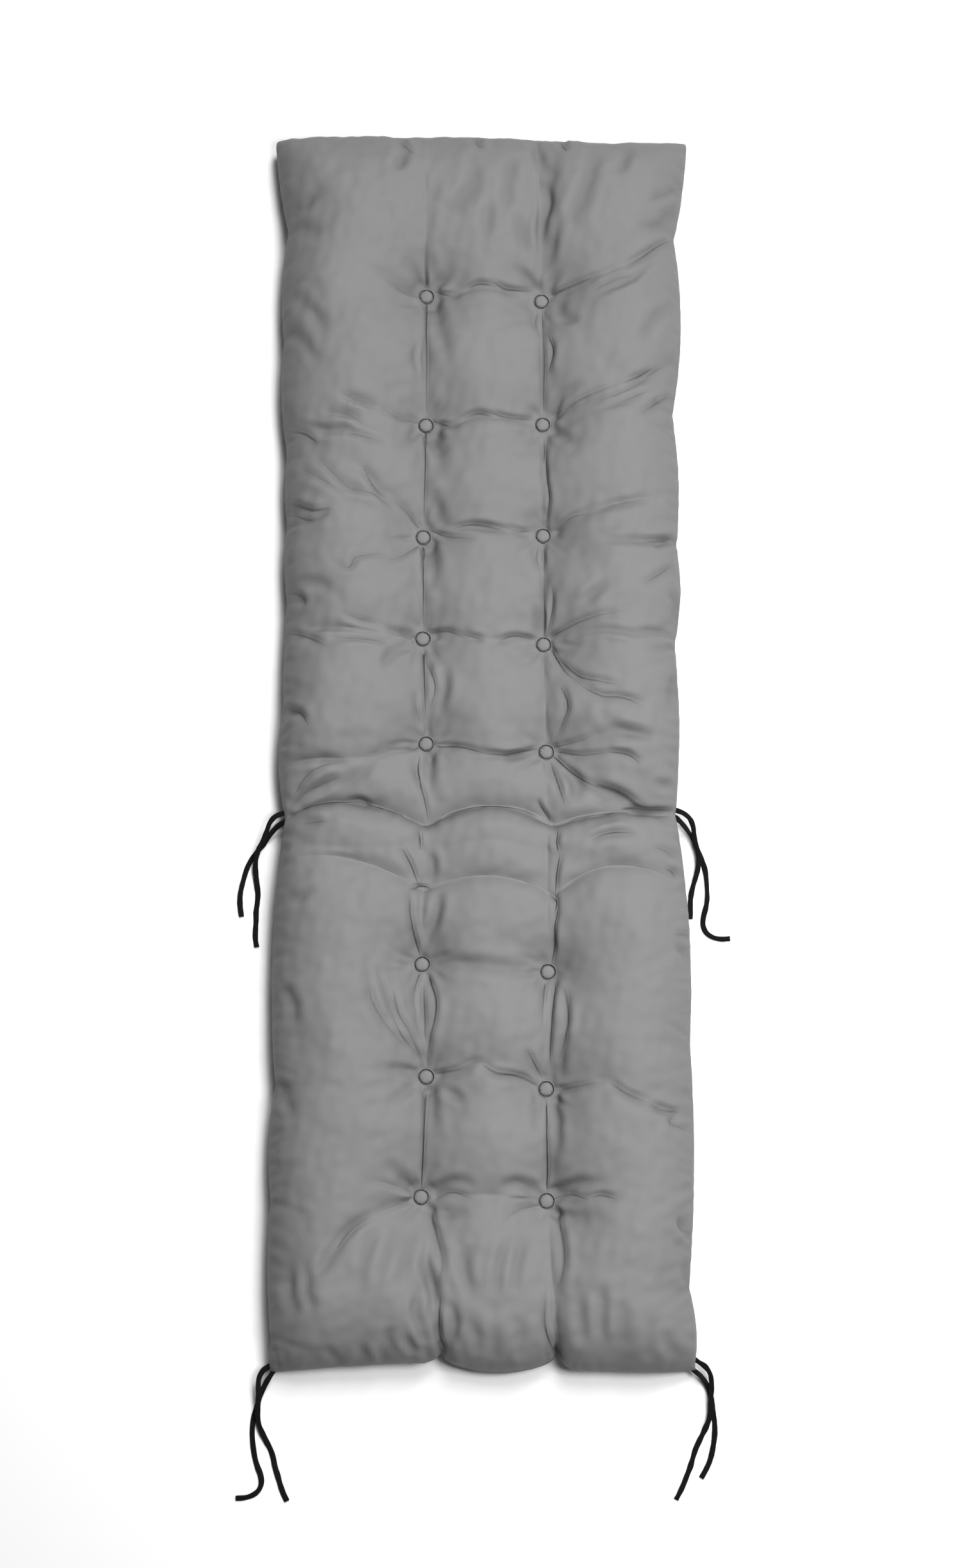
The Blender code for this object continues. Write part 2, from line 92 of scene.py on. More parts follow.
class TuftRow(NamedTuple):
    """A pair of buttons, and how deep both lengthwise creases are from here to the head."""

    number: int
    left: tuple[float, float]
    right: tuple[float, float]
    left_crease: float
    right_crease: float


class Fold(NamedTuple):
    """A broad fold of the filling, deepest at its start, and gentler towards the head by its lean."""

    start: tuple[float, float]
    bend: tuple[float, float]
    end: tuple[float, float]
    depth: float
    end_depth: float
    reach: float
    lean: float = 1.0


class Wrinkle(NamedTuple):
    """A small wrinkle of the cloth: its depth, half width and points, in millimetres."""

    form: Form
    fade: Fade
    depth: float
    width: float
    points: tuple[tuple[float, float], ...]

    def route(self) -> Array:
        """Its smooth curve, in metres."""
        return smooth_curve(np.array(self.points) * MM, ROUTE_STEPS)


class Slot(NamedTuple):
    """A tight slot along a lengthwise crease: its depth, half width and ends, in millimetres."""

    side: Side
    fade: Fade
    depth: float
    width: float
    start: int
    end: int


class Lamp(NamedTuple):
    """A soft light: its name, its middle, how wide and long it is, and its power."""

    name: str
    place: tuple[float, float, float]
    size: tuple[float, float]
    power: float


class Tie(NamedTuple):
    """A string: its name, its height at each step of its fall, and its route on the ground."""

    name: str
    heights: tuple[float, ...]
    route: tuple[tuple[float, float], ...]


LEFT_EDGE = (
    EdgeRow(-0.844, -0.272, 0.004),
    EdgeRow(-0.806, -0.273, 0.005),
    EdgeRow(-0.624, -0.276, 0.006),
    EdgeRow(-0.475, -0.272, 0.011),
    EdgeRow(-0.121, -0.264, 0.008),
    EdgeRow(0.030, -0.269, 0.002),
    EdgeRow(0.176, -0.266, 0.004),
    EdgeRow(0.284, -0.267, 0.004),
    EdgeRow(0.384, -0.268, 0.006),
    EdgeRow(0.540, -0.275, 0.006),
    EdgeRow(0.706, -0.271, 0.004),
    EdgeRow(0.835, -0.288, 0.000),
)
RIGHT_EDGE = (
    EdgeRow(-0.841, 0.273, 0.006),
    EdgeRow(-0.737, 0.268, 0.006),
    EdgeRow(-0.420, 0.273, 0.009),
    EdgeRow(-0.117, 0.258, 0.006),
    EdgeRow(0.116, 0.260, 0.007),
    EdgeRow(0.251, 0.264, 0.006),
    EdgeRow(0.440, 0.261, 0.011),
    EdgeRow(0.692, 0.266, 0.004),
    EdgeRow(0.832, 0.284, 0.000),
)
HEAD_EDGE = (
    EdgeRow(-0.288, 0.836, 0.005),
    EdgeRow(-0.110, 0.840, 0.004),
    EdgeRow(0.090, 0.838, -0.002),
    EdgeRow(0.284, 0.833, 0.000),
)
FOOT_EDGE = (
    EdgeRow(-0.274, -0.844, -0.002),
    EdgeRow(-0.160, -0.833, -0.001),
    EdgeRow(-0.075, -0.830, 0.000),
    EdgeRow(-0.051, -0.823, 0.018),
    EdgeRow(0.095, -0.823, 0.002),
    EdgeRow(0.118, -0.839, 0.000),
    EdgeRow(0.273, -0.842, 0.000),
)

TUFT_ROWS = (
    TuftRow(8, (-0.080, -0.619), (0.083, -0.624), 0.50, 0.50),
    TuftRow(7, (-0.074, -0.464), (0.083, -0.480), 0.42, 0.44),
    TuftRow(6, (-0.080, -0.317), (0.086, -0.327), 0.30, 0.32),
    TuftRow(5, (-0.076, -0.022), (0.085, -0.033), 0.42, 0.40),
    TuftRow(4, (-0.081, 0.122), (0.082, 0.114), 0.42, 0.38),
    TuftRow(3, (-0.081, 0.263), (0.082, 0.265), 0.42, 0.38),
    TuftRow(2, (-0.078, 0.421), (0.082, 0.422), 0.42, 0.38),
    TuftRow(1, (-0.078, 0.606), (0.081, 0.599), 0.24, 0.36),
)
BUTTON_PLACES = [place for row in TUFT_ROWS for place in (row.left, row.right)]
# Where the two lengthwise creases meet the foot and the head
COLUMN_FOOT = ((-0.830, -0.052), (-0.830, 0.096))
COLUMN_HEAD = ((0.840, -0.080), (0.836, 0.075))
FOOT_CREASE = (0.22, 0.32)
# How deep each crease still is at the head, and where it starts to grow shallower
HEAD_CREASE = (0.0, 0.30)
HEAD_FADE = (0.66, 0.80)

# Folds that join the two buttons of a row: row number, rise of the middle, depth
CROSS_FOLDS = (
    (8, 0.006, 0.30),
    (7, 0.027, 0.26),
    (6, 0.004, 0.12),
    (5, -0.013, 0.38),
    (4, -0.001, 0.26),
    (3, 0.007, 0.26),
    (2, 0.006, 0.26),
    (1, 0.006, 0.24),
)
CROSS_REACH = 0.020

OUTER_FOLDS = (
    Fold((-0.080, -0.619), (-0.153, -0.642), (-0.204, -0.704), 0.42, 0.20, 0.022),
    Fold((0.083, -0.624), (0.122, -0.613), (0.176, -0.617), 0.30, 0.10, 0.020),
    Fold((-0.074, -0.464), (-0.118, -0.400), (-0.152, -0.315), 0.22, 0.08, 0.020),
    Fold((0.083, -0.480), (0.165, -0.468), (0.265, -0.521), 0.30, 0.18, 0.022),
    Fold((-0.076, -0.022), (-0.163, -0.043), (-0.266, -0.055), 0.42, 0.26, 0.022),
    Fold((0.085, -0.033), (0.135, -0.026), (0.201, -0.003), 0.28, 0.08, 0.020),
    Fold((0.085, -0.033), (0.147, -0.092), (0.254, -0.117), 0.46, 0.60, 0.020, 1.5),
    Fold((-0.081, 0.122), (-0.156, 0.126), (-0.248, 0.130), 0.28, 0.16, 0.022),
    Fold((-0.081, 0.122), (-0.110, 0.138), (-0.190, 0.160), 0.20, 0.08, 0.018),
    Fold((0.082, 0.114), (0.136, 0.134), (0.207, 0.158), 0.28, 0.10, 0.020),
    Fold((0.082, 0.114), (0.131, 0.056), (0.218, 0.028), 0.28, 0.10, 0.022),
    Fold((-0.081, 0.263), (-0.153, 0.335), (-0.225, 0.373), 0.36, 0.18, 0.024),
    Fold((-0.081, 0.263), (-0.130, 0.240), (-0.215, 0.238), 0.22, 0.08, 0.020),
    Fold((0.082, 0.265), (0.146, 0.295), (0.232, 0.310), 0.34, 0.14, 0.022),
    Fold((-0.078, 0.421), (-0.141, 0.434), (-0.198, 0.451), 0.30, 0.10, 0.022),
    Fold((0.082, 0.422), (0.155, 0.452), (0.252, 0.490), 0.36, 0.18, 0.024),
    Fold((-0.078, 0.606), (-0.098, 0.607), (-0.133, 0.621), 0.28, 0.06, 0.020),
    Fold((0.081, 0.599), (0.170, 0.627), (0.262, 0.679), 0.36, 0.20, 0.024),
)

# The hip crease, where the back part meets the seat, and the edge of the seat's second roll
HIP_FOLDS = (
    Fold((-0.262, -0.123), (-0.179, -0.103), (-0.076, -0.135), 0.80, 0.84, 0.0138, 2.75),
    Fold((-0.076, -0.135), (0.011, -0.108), (0.096, -0.134), 0.84, 0.84, 0.0138, 2.75),
    Fold((0.096, -0.134), (0.168, -0.118), (0.256, -0.120), 0.84, 0.80, 0.0138, 2.75),
)
ROLL_FOLDS = (
    Fold((-0.240, -0.178), (-0.161, -0.184), (-0.078, -0.221), 0.12, 0.34, 0.018, 1.5),
    Fold((-0.078, -0.221), (0.011, -0.202), (0.096, -0.229), 0.36, 0.36, 0.018, 1.5),
    Fold((0.096, -0.229), (0.167, -0.190), (0.262, -0.211), 0.36, 0.34, 0.018, 1.5),
)
# The line at the bottom of each of those two: its depth and its half width, in millimetres
ROLL_LINES = ((6.5, 3.6), (1.6, 4.0))
# The shallow folds between the hip crease and the roll
SHALLOW_FOLDS = (
    Fold((-0.236, -0.161), (-0.162, -0.165), (-0.106, -0.162), 0.12, 0.12, 0.014),
    Fold((-0.064, -0.167), (0.011, -0.156), (0.093, -0.171), 0.16, 0.16, 0.014),
    Fold((0.125, -0.160), (0.176, -0.147), (0.218, -0.150), 0.12, 0.12, 0.014),
)

# A string that crosses over its partner stays up for longer than the one beneath it
OVER_HIP = (0.034, 0.0318, 0.0285, 0.0245, 0.0203, 0.0165, 0.0135, 0.0110, 0.0080, 0.0052, 0.0036)
UNDER_HIP = (0.034, 0.0250, 0.0160, 0.0092, 0.0052, 0.0035)
OVER_FOOT = (0.022, 0.0215, 0.0205, 0.0190, 0.0165, 0.0135, 0.0114, 0.0102, 0.0078, 0.0050, 0.0036)
UNDER_FOOT = (0.022, 0.0160, 0.0105, 0.0072, 0.0048, 0.0034)

TIES = (
    Tie(
        "tie_hip_left_over",
        OVER_HIP,
        (
            (-0.2685, -0.1133), (-0.2790, -0.1178), (-0.2862, -0.1263), (-0.2903, -0.1370),
            (-0.2951, -0.1480), (-0.3009, -0.1585), (-0.3045, -0.1699), (-0.3057, -0.1818),
            (-0.3051, -0.1940), (-0.3038, -0.2060), (-0.3025, -0.2180), (-0.3032, -0.2301),
            (-0.3046, -0.2419), (-0.3044, -0.2540), (-0.3050, -0.2661), (-0.3050, -0.2782),
            (-0.3031, -0.2902),
        ),
    ),
    Tie(
        "tie_hip_left_under",
        UNDER_HIP,
        (
            (-0.2672, -0.1257), (-0.2760, -0.1300), (-0.2838, -0.1365), (-0.2905, -0.1440),
            (-0.2968, -0.1521), (-0.3035, -0.1600), (-0.3099, -0.1684), (-0.3152, -0.1774),
            (-0.3190, -0.1873), (-0.3218, -0.1975), (-0.3243, -0.2077), (-0.3262, -0.2180),
            (-0.3266, -0.2284), (-0.3257, -0.2389), (-0.3239, -0.2493),
        ),
    ),
    Tie(
        "tie_hip_right_over",
        OVER_HIP,
        (
            (0.2612, -0.1097), (0.2700, -0.1130), (0.2782, -0.1198), (0.2828, -0.1300),
            (0.2844, -0.1408), (0.2866, -0.1518), (0.2897, -0.1626), (0.2912, -0.1738),
            (0.2899, -0.1853), (0.2870, -0.1965), (0.2837, -0.2075), (0.2810, -0.2183),
            (0.2796, -0.2294), (0.2796, -0.2409), (0.2790, -0.2524),
        ),
    ),
    Tie(
        "tie_hip_right_under",
        UNDER_HIP,
        (
            (0.2618, -0.1215), (0.2695, -0.1275), (0.2772, -0.1358), (0.2836, -0.1453),
            (0.2888, -0.1559), (0.2935, -0.1667), (0.2978, -0.1778), (0.3007, -0.1893),
            (0.3019, -0.2013), (0.3025, -0.2134), (0.3024, -0.2254), (0.3003, -0.2371),
            (0.2972, -0.2485), (0.2962, -0.2601), (0.3004, -0.2704), (0.3092, -0.2768),
            (0.3202, -0.2792), (0.3321, -0.2786),
        ),
    ),
    Tie(
        "tie_foot_left_over",
        OVER_FOOT,
        (
            (-0.2760, -0.8345), (-0.2845, -0.8408), (-0.2897, -0.8506), (-0.2904, -0.8626),
            (-0.2902, -0.8745), (-0.2909, -0.8864), (-0.2914, -0.8981), (-0.2895, -0.9095),
            (-0.2854, -0.9201), (-0.2804, -0.9307), (-0.2751, -0.9409), (-0.2712, -0.9517),
            (-0.2686, -0.9632), (-0.2651, -0.9740), (-0.2617, -0.9850), (-0.2576, -0.9959),
            (-0.2526, -1.0062),
        ),
    ),
    Tie(
        "tie_foot_left_under",
        UNDER_FOOT,
        (
            (-0.2742, -0.8462), (-0.2800, -0.8550), (-0.2852, -0.8652), (-0.2893, -0.8764),
            (-0.2930, -0.8876), (-0.2963, -0.8984), (-0.2984, -0.9092), (-0.2989, -0.9201),
            (-0.2982, -0.9311), (-0.2967, -0.9421), (-0.2946, -0.9530), (-0.2912, -0.9634),
            (-0.2873, -0.9731), (-0.2860, -0.9834), (-0.2895, -0.9927), (-0.2974, -0.9989),
            (-0.3074, -1.0019), (-0.3187, -1.0026),
        ),
    ),
    Tie(
        "tie_foot_right_over",
        OVER_FOOT,
        (
            (0.2795, -0.8293), (0.2880, -0.8350), (0.2945, -0.8442), (0.2966, -0.8551),
            (0.2964, -0.8666), (0.2963, -0.8782), (0.2960, -0.8897), (0.2942, -0.9009),
            (0.2905, -0.9113), (0.2858, -0.9216), (0.2807, -0.9318), (0.2759, -0.9420),
            (0.2724, -0.9527), (0.2689, -0.9636), (0.2648, -0.9737), (0.2605, -0.9843),
            (0.2557, -0.9943), (0.2502, -1.0041),
        ),
    ),
    Tie(
        "tie_foot_right_under",
        UNDER_FOOT,
        (
            (0.2762, -0.8420), (0.2822, -0.8470), (0.2880, -0.8540), (0.2932, -0.8627),
            (0.2967, -0.8736), (0.2985, -0.8845), (0.2999, -0.8952), (0.3012, -0.9058),
            (0.3016, -0.9165), (0.3008, -0.9271), (0.2991, -0.9377), (0.2968, -0.9484),
            (0.2934, -0.9585), (0.2886, -0.9679), (0.2831, -0.9773),
        ),
    ),
)

LAMPS = (
    Lamp("key light", (1.0, 2.2, 4.2), (1.4, 2.4), 220),
    Lamp("fill light", (0.75, -0.40, 2.2), (0.6, 1.0), 47),
)

# The tight slots along the two lengthwise creases
SLOTS = (
    Slot(Side.LEFT, ENDING, 8, 3, 620, 677),
    Slot(Side.LEFT, ENDING, 8, 3, 596, 435),
    Slot(Side.LEFT, ENDING, 9, 3, 412, 279),
    Slot(Side.LEFT, ENDING, 9, 3, 250, 134),
    Slot(Side.LEFT, ENDING, 9, 3, 104, 2),
    Slot(Side.LEFT, FREE, 4, 4, -343, -416),
    Slot(Side.LEFT, EVEN, 10, 2.5, -479, -608),
    Slot(Side.RIGHT, FREE, 4, 3, 590, 542),
    Slot(Side.RIGHT, FREE, 5, 4, 546, 436),
    Slot(Side.RIGHT, FREE, 4, 3, 401, 361),
    Slot(Side.RIGHT, FREE, 4, 3, 253, 210),
    Slot(Side.RIGHT, FREE, 4, 3, 210, 128),
    Slot(Side.RIGHT, ENDING, 3, 2.5, 278, 400),
    Slot(Side.RIGHT, ENDING, 3, 2.5, 128, 240),
    Slot(Side.RIGHT, ENDING, 3, 2.5, 102, 0),
    Slot(Side.RIGHT, EVEN, 10, 2.5, -494, -612),
    Slot(Side.RIGHT, ENDING, 10, 3, -827, -760),
    Slot(Side.LEFT, ENDING, 9, 3, -827, -800),
)

# The small wrinkles of the cloth: form, fade, depth, half width and points, in millimetres
WRINKLE_ROWS = (
    # Head panel
    (CREASE, FREE, 6, 3, (108, 828), (112, 815), (117, 804)),
    (CREASE, FREE, 5, 3, (-10, 833), (-7, 819), (1, 809)),
    (CREASE, FREE, 5, 4, (-117, 824), (-108, 813), (-97, 797)),
    (VALLEY, FREE, 6, 8, (-108, 809), (-113, 787), (-120, 773)),
    (VALLEY, FREE, 6, 10, (152, 806), (148, 763), (133, 721), (119, 689)),
    (VALLEY, FREE, 4.5, 7, (201, 812), (196, 787), (185, 766)),
    (VALLEY, FREE, 4.5, 9, (-9, 789), (-18, 745), (-35, 699)),
    (VALLEY, FREE, 4, 9, (-51, 712), (-40, 724), (-27, 749)),
    (VALLEY, FREE, 4, 9, (39, 800), (37, 767), (28, 711)),
    (VALLEY, FREE, 4, 8, (14, 732), (8, 703), (2, 674)),
    (VALLEY, FREE, 4, 8, (50, 713), (52, 684), (60, 657)),
    (VALLEY, FREE, 4, 7, (72, 825), (79, 795), (90, 765)),
    (VALLEY, FREE, 4, 6, (79, 765), (89, 730), (80, 699), (84, 659)),
    (VALLEY, FREE, 5, 9, (99, 815), (96, 772), (91, 726), (86, 678), (84, 623)),
    (VALLEY, FREE, 4.5, 7, (109, 710), (97, 672), (89, 632)),
    (VALLEY, ENDING, 6, 7, (-84, 617), (-94, 632), (-106, 651)),
    (VALLEY, ENDING, 4.5, 6, (-90, 612), (-116, 620), (-159, 632)),
    (VALLEY, ENDING, 4.5, 7, (-68, 616), (-51, 634), (-47, 668)),
    (VALLEY, FREE, 4.5, 7, (77, 612), (61, 624), (46, 644)),
    (VALLEY, ENDING, 4.5, 6, (91, 612), (99, 629), (115, 647)),
    (CREASE, FREE, 4, 4, (282, 766), (252, 740), (228, 727)),
    (VALLEY, FREE, 4.5, 7, (270, 727), (247, 700), (216, 688)),
    (VALLEY, FREE, 4.5, 8, (-276, 731), (-250, 726), (-225, 748)),
    (VALLEY, FREE, 4.5, 9, (-274, 705), (-245, 691), (-222, 678)),
    # First tuft row
    (CREASE, ENDING, 6, 4, (-90, 609), (-112, 609), (-138, 619)),
    (CREASE, FREE, 5, 4, (-67, 612), (-43, 601), (-22, 606)),
    (CREASE, FREE, 5, 4, (-27, 604), (-7, 613), (20, 610)),
    (CREASE, FREE, 6, 4, (14, 616), (34, 608), (70, 611)),
    (CREASE, ENDING, 9, 5, (95, 606), (131, 614), (167, 623), (200, 635)),
    (CREASE, FREE, 7.5, 4, (195, 631), (228, 654), (265, 686)),
    (CREASE, FREE, 5, 4, (151, 601), (181, 614), (205, 619)),
    (VALLEY, FREE, 4.5, 5, (159, 592), (203, 614), (236, 644)),
    (VALLEY, ENDING, 7.5, 9, (-68, 597), (-62, 562), (-45, 499)),
    (CREASE, FREE, 5, 3, (-89, 530), (-93, 508), (-88, 483)),
    (CREASE, FREE, 5, 3, (76, 584), (73, 563), (81, 542)),
    (CREASE, FREE, 6, 4, (90, 540), (95, 516), (89, 488)),
    (VALLEY, FREE, 4.5, 7, (101, 593), (115, 564), (134, 556)),
    (VALLEY, FREE, 4.5, 8, (224, 524), (234, 554), (270, 592)),
    (VALLEY, FREE, 3.5, 8, (-273, 608), (-239, 570), (-216, 543)),
    (VALLEY, FREE, 3.5, 7, (-275, 553), (-252, 532), (-226, 489)),
    # Second tuft row
    (CREASE, ENDING, 7.5, 4, (-89, 425), (-119, 426), (-147, 438)),
    (CREASE, FREE, 6, 4, (-144, 436), (-172, 443), (-200, 454)),
    (CREASE, FREE, 6, 4, (-161, 408), (-186, 423), (-225, 428)),
    (VALLEY, FREE, 6, 6, (-272, 421), (-221, 401), (-162, 403)),
    (CREASE, FREE, 5, 4, (-189, 396), (-173, 393), (-136, 384)),
    (CREASE, FREE, 6, 5, (-269, 409), (-246, 397), (-229, 384)),
    (CREASE, FREE, 5, 4, (-67, 426), (-45, 416), (-22, 423)),
    (CREASE, FREE, 5, 4, (-30, 422), (-6, 429), (20, 423)),
    (CREASE, FREE, 5, 4, (14, 430), (34, 425), (70, 427)),
    (CREASE, ENDING, 9, 5, (97, 426), (130, 444), (166, 457), (196, 467)),
    (CREASE, FREE, 6, 4, (190, 465), (218, 478), (234, 489)),
    (CREASE, FREE, 5, 4, (146, 440), (190, 454), (226, 476), (267, 508)),
    (CREASE, FREE, 5, 5, (157, 429), (197, 441), (234, 460)),
    (CREASE, FREE, 5, 5, (217, 424), (242, 442), (268, 464)),
    (VALLEY, ENDING, 6, 7, (95, 433), (110, 453), (142, 470)),
    (VALLEY, ENDING, 7.5, 9, (-70, 409), (-59, 373), (-60, 339)),
    (VALLEY, FREE, 4.5, 8, (-66, 327), (-61, 300), (-50, 273)),
    (CREASE, FREE, 6, 4, (88, 409), (85, 352), (90, 312), (85, 280)),
    (VALLEY, ENDING, 4.5, 6, (-89, 416), (-106, 389), (-122, 373)),
    (VALLEY, ENDING, 4.5, 6, (96, 412), (118, 392), (137, 387)),
    # Third tuft row
    (CREASE, ENDING, 9, 4, (-87, 275), (-110, 298), (-133, 312)),
    (CREASE, FREE, 7.5, 4, (-130, 310), (-148, 323), (-167, 352)),
    (CREASE, FREE, 6, 5, (-118, 293), (-149, 313), (-189, 325), (-234, 369)),
    (CREASE, FREE, 5, 4, (-186, 310), (-212, 326), (-255, 352)),
    (CREASE, FREE, 7.5, 6, (-268, 308), (-236, 290), (-207, 290)),
    (CREASE, FREE, 5, 5, (-268, 293), (-238, 277), (-210, 286)),
    (CREASE, ENDING, 6, 4, (-88, 252), (-110, 234), (-132, 221)),
    (CREASE, FREE, 5, 5, (-129, 235), (-172, 225), (-183, 210), (-210, 222)),
    (CREASE, FREE, 5, 4, (-71, 273), (-50, 261), (-10, 253)),
    (CREASE, FREE, 6, 4, (-50, 268), (-18, 273), (14, 270), (38, 265)),
    (CREASE, FREE, 4, 4, (34, 269), (54, 268), (72, 272)),
    (CREASE, ENDING, 7.5, 4, (99, 270), (123, 284), (149, 287)),
    (CREASE, FREE, 6, 4, (145, 286), (180, 297), (233, 306)),
    (CREASE, FREE, 5, 5, (268, 263), (250, 249), (233, 240)),
    (VALLEY, FREE, 4.5, 6, (231, 257), (195, 246), (164, 248)),
    (CREASE, FREE, 5, 3, (76, 256), (73, 231), (80, 211)),
    # Third to fourth
    (VALLEY, ENDING, 7.5, 8, (-73, 250), (-66, 214), (-68, 180)),
    (CREASE, FREE, 5, 4, (94, 189), (92, 155), (88, 128)),
    (VALLEY, FREE, 4.5, 7, (70, 167), (75, 148), (77, 128)),
    (VALLEY, FREE, 6, 7, (140, 159), (150, 174), (170, 190)),
    (CREASE, FREE, 5, 4, (219, 186), (245, 204), (260, 219)),
    (CREASE, FREE, 5, 4, (201, 244), (229, 247), (263, 255)),
    (VALLEY, FREE, 4.5, 7, (-264, 194), (-228, 191), (-190, 173)),
    (CREASE, FREE, 5, 5, (-266, 184), (-250, 174), (-244, 160)),
    (VALLEY, FREE, 4.5, 7, (254, 183), (266, 168), (261, 133)),
    # Fourth tuft row
    (CREASE, ENDING, 7.5, 4, (-91, 125), (-120, 130), (-143, 139)),
    (CREASE, FREE, 6, 4, (-138, 137), (-164, 140), (-194, 150)),
    (CREASE, FREE, 6, 5, (-127, 112), (-162, 116), (-208, 114)),
    (CREASE, FREE, 5, 4, (-138, 124), (-178, 129), (-249, 132)),
    (CREASE, FREE, 5, 5, (-267, 127), (-240, 117), (-212, 102)),
    (CREASE, ENDING, 5, 4, (-70, 129), (-47, 128), (-21, 116)),
    (CREASE, FREE, 4, 4, (-23, 121), (-8, 117), (4, 114)),
    (CREASE, FREE, 5, 4, (17, 111), (43, 121), (74, 119)),
    (CREASE, ENDING, 7.5, 4, (93, 124), (128, 136), (162, 145), (207, 153)),
    (VALLEY, FREE, 4.5, 5, (118, 121), (158, 127), (206, 121), (254, 128)),
    (CREASE, ENDING, 7.5, 4, (92, 106), (109, 74), (132, 53)),
    (CREASE, FREE, 6, 4, (127, 55), (157, 37), (190, 32), (219, 22)),
    (CREASE, FREE, 5, 4, (105, 88), (129, 64), (157, 55), (186, 48)),
    (CREASE, FREE, 5, 5, (103, 53), (113, 25), (101, -9)),
    (VALLEY, FREE, 4.5, 7, (157, 9), (189, -8), (230, -17)),
    (CREASE, FREE, 5, 4, (-77, 89), (-65, 53), (-73, 19)),
    (CREASE, FREE, 5, 3, (-88, 47), (-90, 24), (-84, 1)),
    (VALLEY, FREE, 6, 7, (-55, 78), (-52, 48), (-64, 17)),
    (CREASE, FREE, 5, 5, (-266, 22), (-247, 13), (-233, -5)),
    (VALLEY, FREE, 4.5, 6, (-97, 111), (-121, 98), (-137, 75)),
    (VALLEY, FREE, 4.5, 8, (266, 77), (258, 55), (252, 20)),
    # Fifth tuft row
    (CREASE, ENDING, 10, 4, (-86, -27), (-117, -31), (-148, -42), (-193, -46)),
    (CREASE, FREE, 7.5, 5, (-187, -45), (-222, -46), (-270, -49)),
    (CREASE, FREE, 6, 4, (-177, -50), (-210, -53), (-238, -68), (-256, -94)),
    (CREASE, FREE, 7.5, 5, (-192, -71), (-212, -81), (-239, -92), (-262, -107)),
    (VALLEY, FREE, 4.5, 7, (-145, -47), (-165, -68), (-198, -88)),
    (CREASE, ENDING, 9, 4, (-60, -27), (-31, -30), (4, -39)),
    (CREASE, FREE, 7.5, 4, (0, -39), (31, -40), (56, -34), (75, -29)),
    (CREASE, FREE, 5, 4, (27, -44), (51, -39), (75, -34)),
    (CREASE, ENDING, 6, 4, (96, -27), (125, -23), (149, -16)),
    (VALLEY, FREE, 6, 8, (141, -15), (189, -13), (235, -19)),
    (CREASE, ENDING, 6, 4, (101, -34), (133, -41), (169, -40)),
    (CREASE, FREE, 5, 4, (165, -39), (193, -44), (210, -55)),
    (CREASE, ENDING, 10, 4, (94, -39), (123, -68), (153, -84)),
    (CREASE, FREE, 15, 9, (147, -81), (178, -92), (213, -112)),
    (CREASE, FREE, 10, 6, (182, -110), (215, -115), (258, -113)),
    (CREASE, FREE, 7.5, 3, (-84, -34), (-86, -58), (-80, -89), (-72, -131)),
    (CREASE, FREE, 5, 4, (-91, -44), (-89, -66), (-80, -87)),
    (VALLEY, ENDING, 6, 7, (-70, -33), (-71, -66), (-67, -103)),
    (CREASE, FREE, 5, 4, (89, -43), (98, -75), (108, -108)),
    (CREASE, FREE, 5, 4, (72, -97), (78, -111), (89, -128)),
    (VALLEY, FREE, 6, 7, (109, -57), (125, -78), (125, -107)),
    (CREASE, FREE, 5, 4, (-178, -102), (-163, -100), (-148, -108)),
    (VALLEY, FREE, 4.5, 6, (226, -76), (243, -79), (257, -77)),
    # Seat rolls
    (CREASE, FREE, 5, 4, (-245, -135), (-224, -132), (-203, -132)),
    (CREASE, FREE, 9, 3, (-85, -136), (-83, -154), (-82, -171)),
    (CREASE, FREE, 7.5, 3, (-107, -166), (-95, -187), (-85, -216)),
    (VALLEY, FREE, 6, 6, (-71, -171), (-66, -191), (-71, -215)),
    (CREASE, FREE, 9, 3, (98, -142), (96, -158), (99, -171)),
    (CREASE, FREE, 9, 3, (101, -174), (96, -199), (95, -228)),
    (CREASE, FREE, 6, 3, (139, -158), (168, -147), (201, -147)),
    (CREASE, FREE, 4, 4, (224, -166), (245, -171), (263, -185)),
    (CREASE, FREE, 5, 3, (241, -194), (252, -198), (259, -206)),
    (CREASE, FREE, 9, 3, (-95, -221), (-83, -217), (-68, -219)),
    (CREASE, FREE, 9, 3, (-95, -221), (-94, -257), (-85, -306)),
    (VALLEY, FREE, 6, 6, (-58, -221), (-60, -252), (-73, -291)),
    (CREASE, FREE, 9, 3, (87, -226), (96, -236), (93, -252)),
    (CREASE, FREE, 7.5, 3, (99, -240), (93, -272), (92, -307)),
    (CREASE, FREE, 4, 5, (251, -281), (267, -280), (278, -281)),
    (VALLEY, FREE, 4.5, 7, (253, -293), (266, -300), (277, -309)),
    (VALLEY, FREE, 4.5, 7, (-260, -228), (-243, -233), (-222, -218)),
    # Sixth tuft row
    (CREASE, FREE, 7.5, 3, (-91, -269), (-87, -290), (-83, -307)),
    (CREASE, FREE, 7.5, 3, (94, -271), (93, -296), (90, -317)),
    (CREASE, ENDING, 7.5, 4, (-84, -329), (-91, -361), (-83, -404), (-77, -422)),
    (CREASE, ENDING, 7.5, 5, (-72, -334), (-62, -372), (-70, -416), (-75, -446)),
    (CREASE, FREE, 5, 5, (-153, -310), (-148, -362), (-126, -400), (-96, -434)),
    (CREASE, FREE, 5, 5, (-139, -319), (-126, -362), (-112, -404), (-84, -441)),
    (CREASE, FREE, 5, 5, (-123, -327), (-113, -379), (-97, -408), (-80, -445)),
    (CREASE, ENDING, 9, 3, (82, -342), (78, -378), (77, -413)),
    (CREASE, ENDING, 7.5, 4, (95, -345), (88, -404), (87, -459)),
    (CREASE, FREE, 6, 6, (107, -348), (110, -396), (95, -448)),
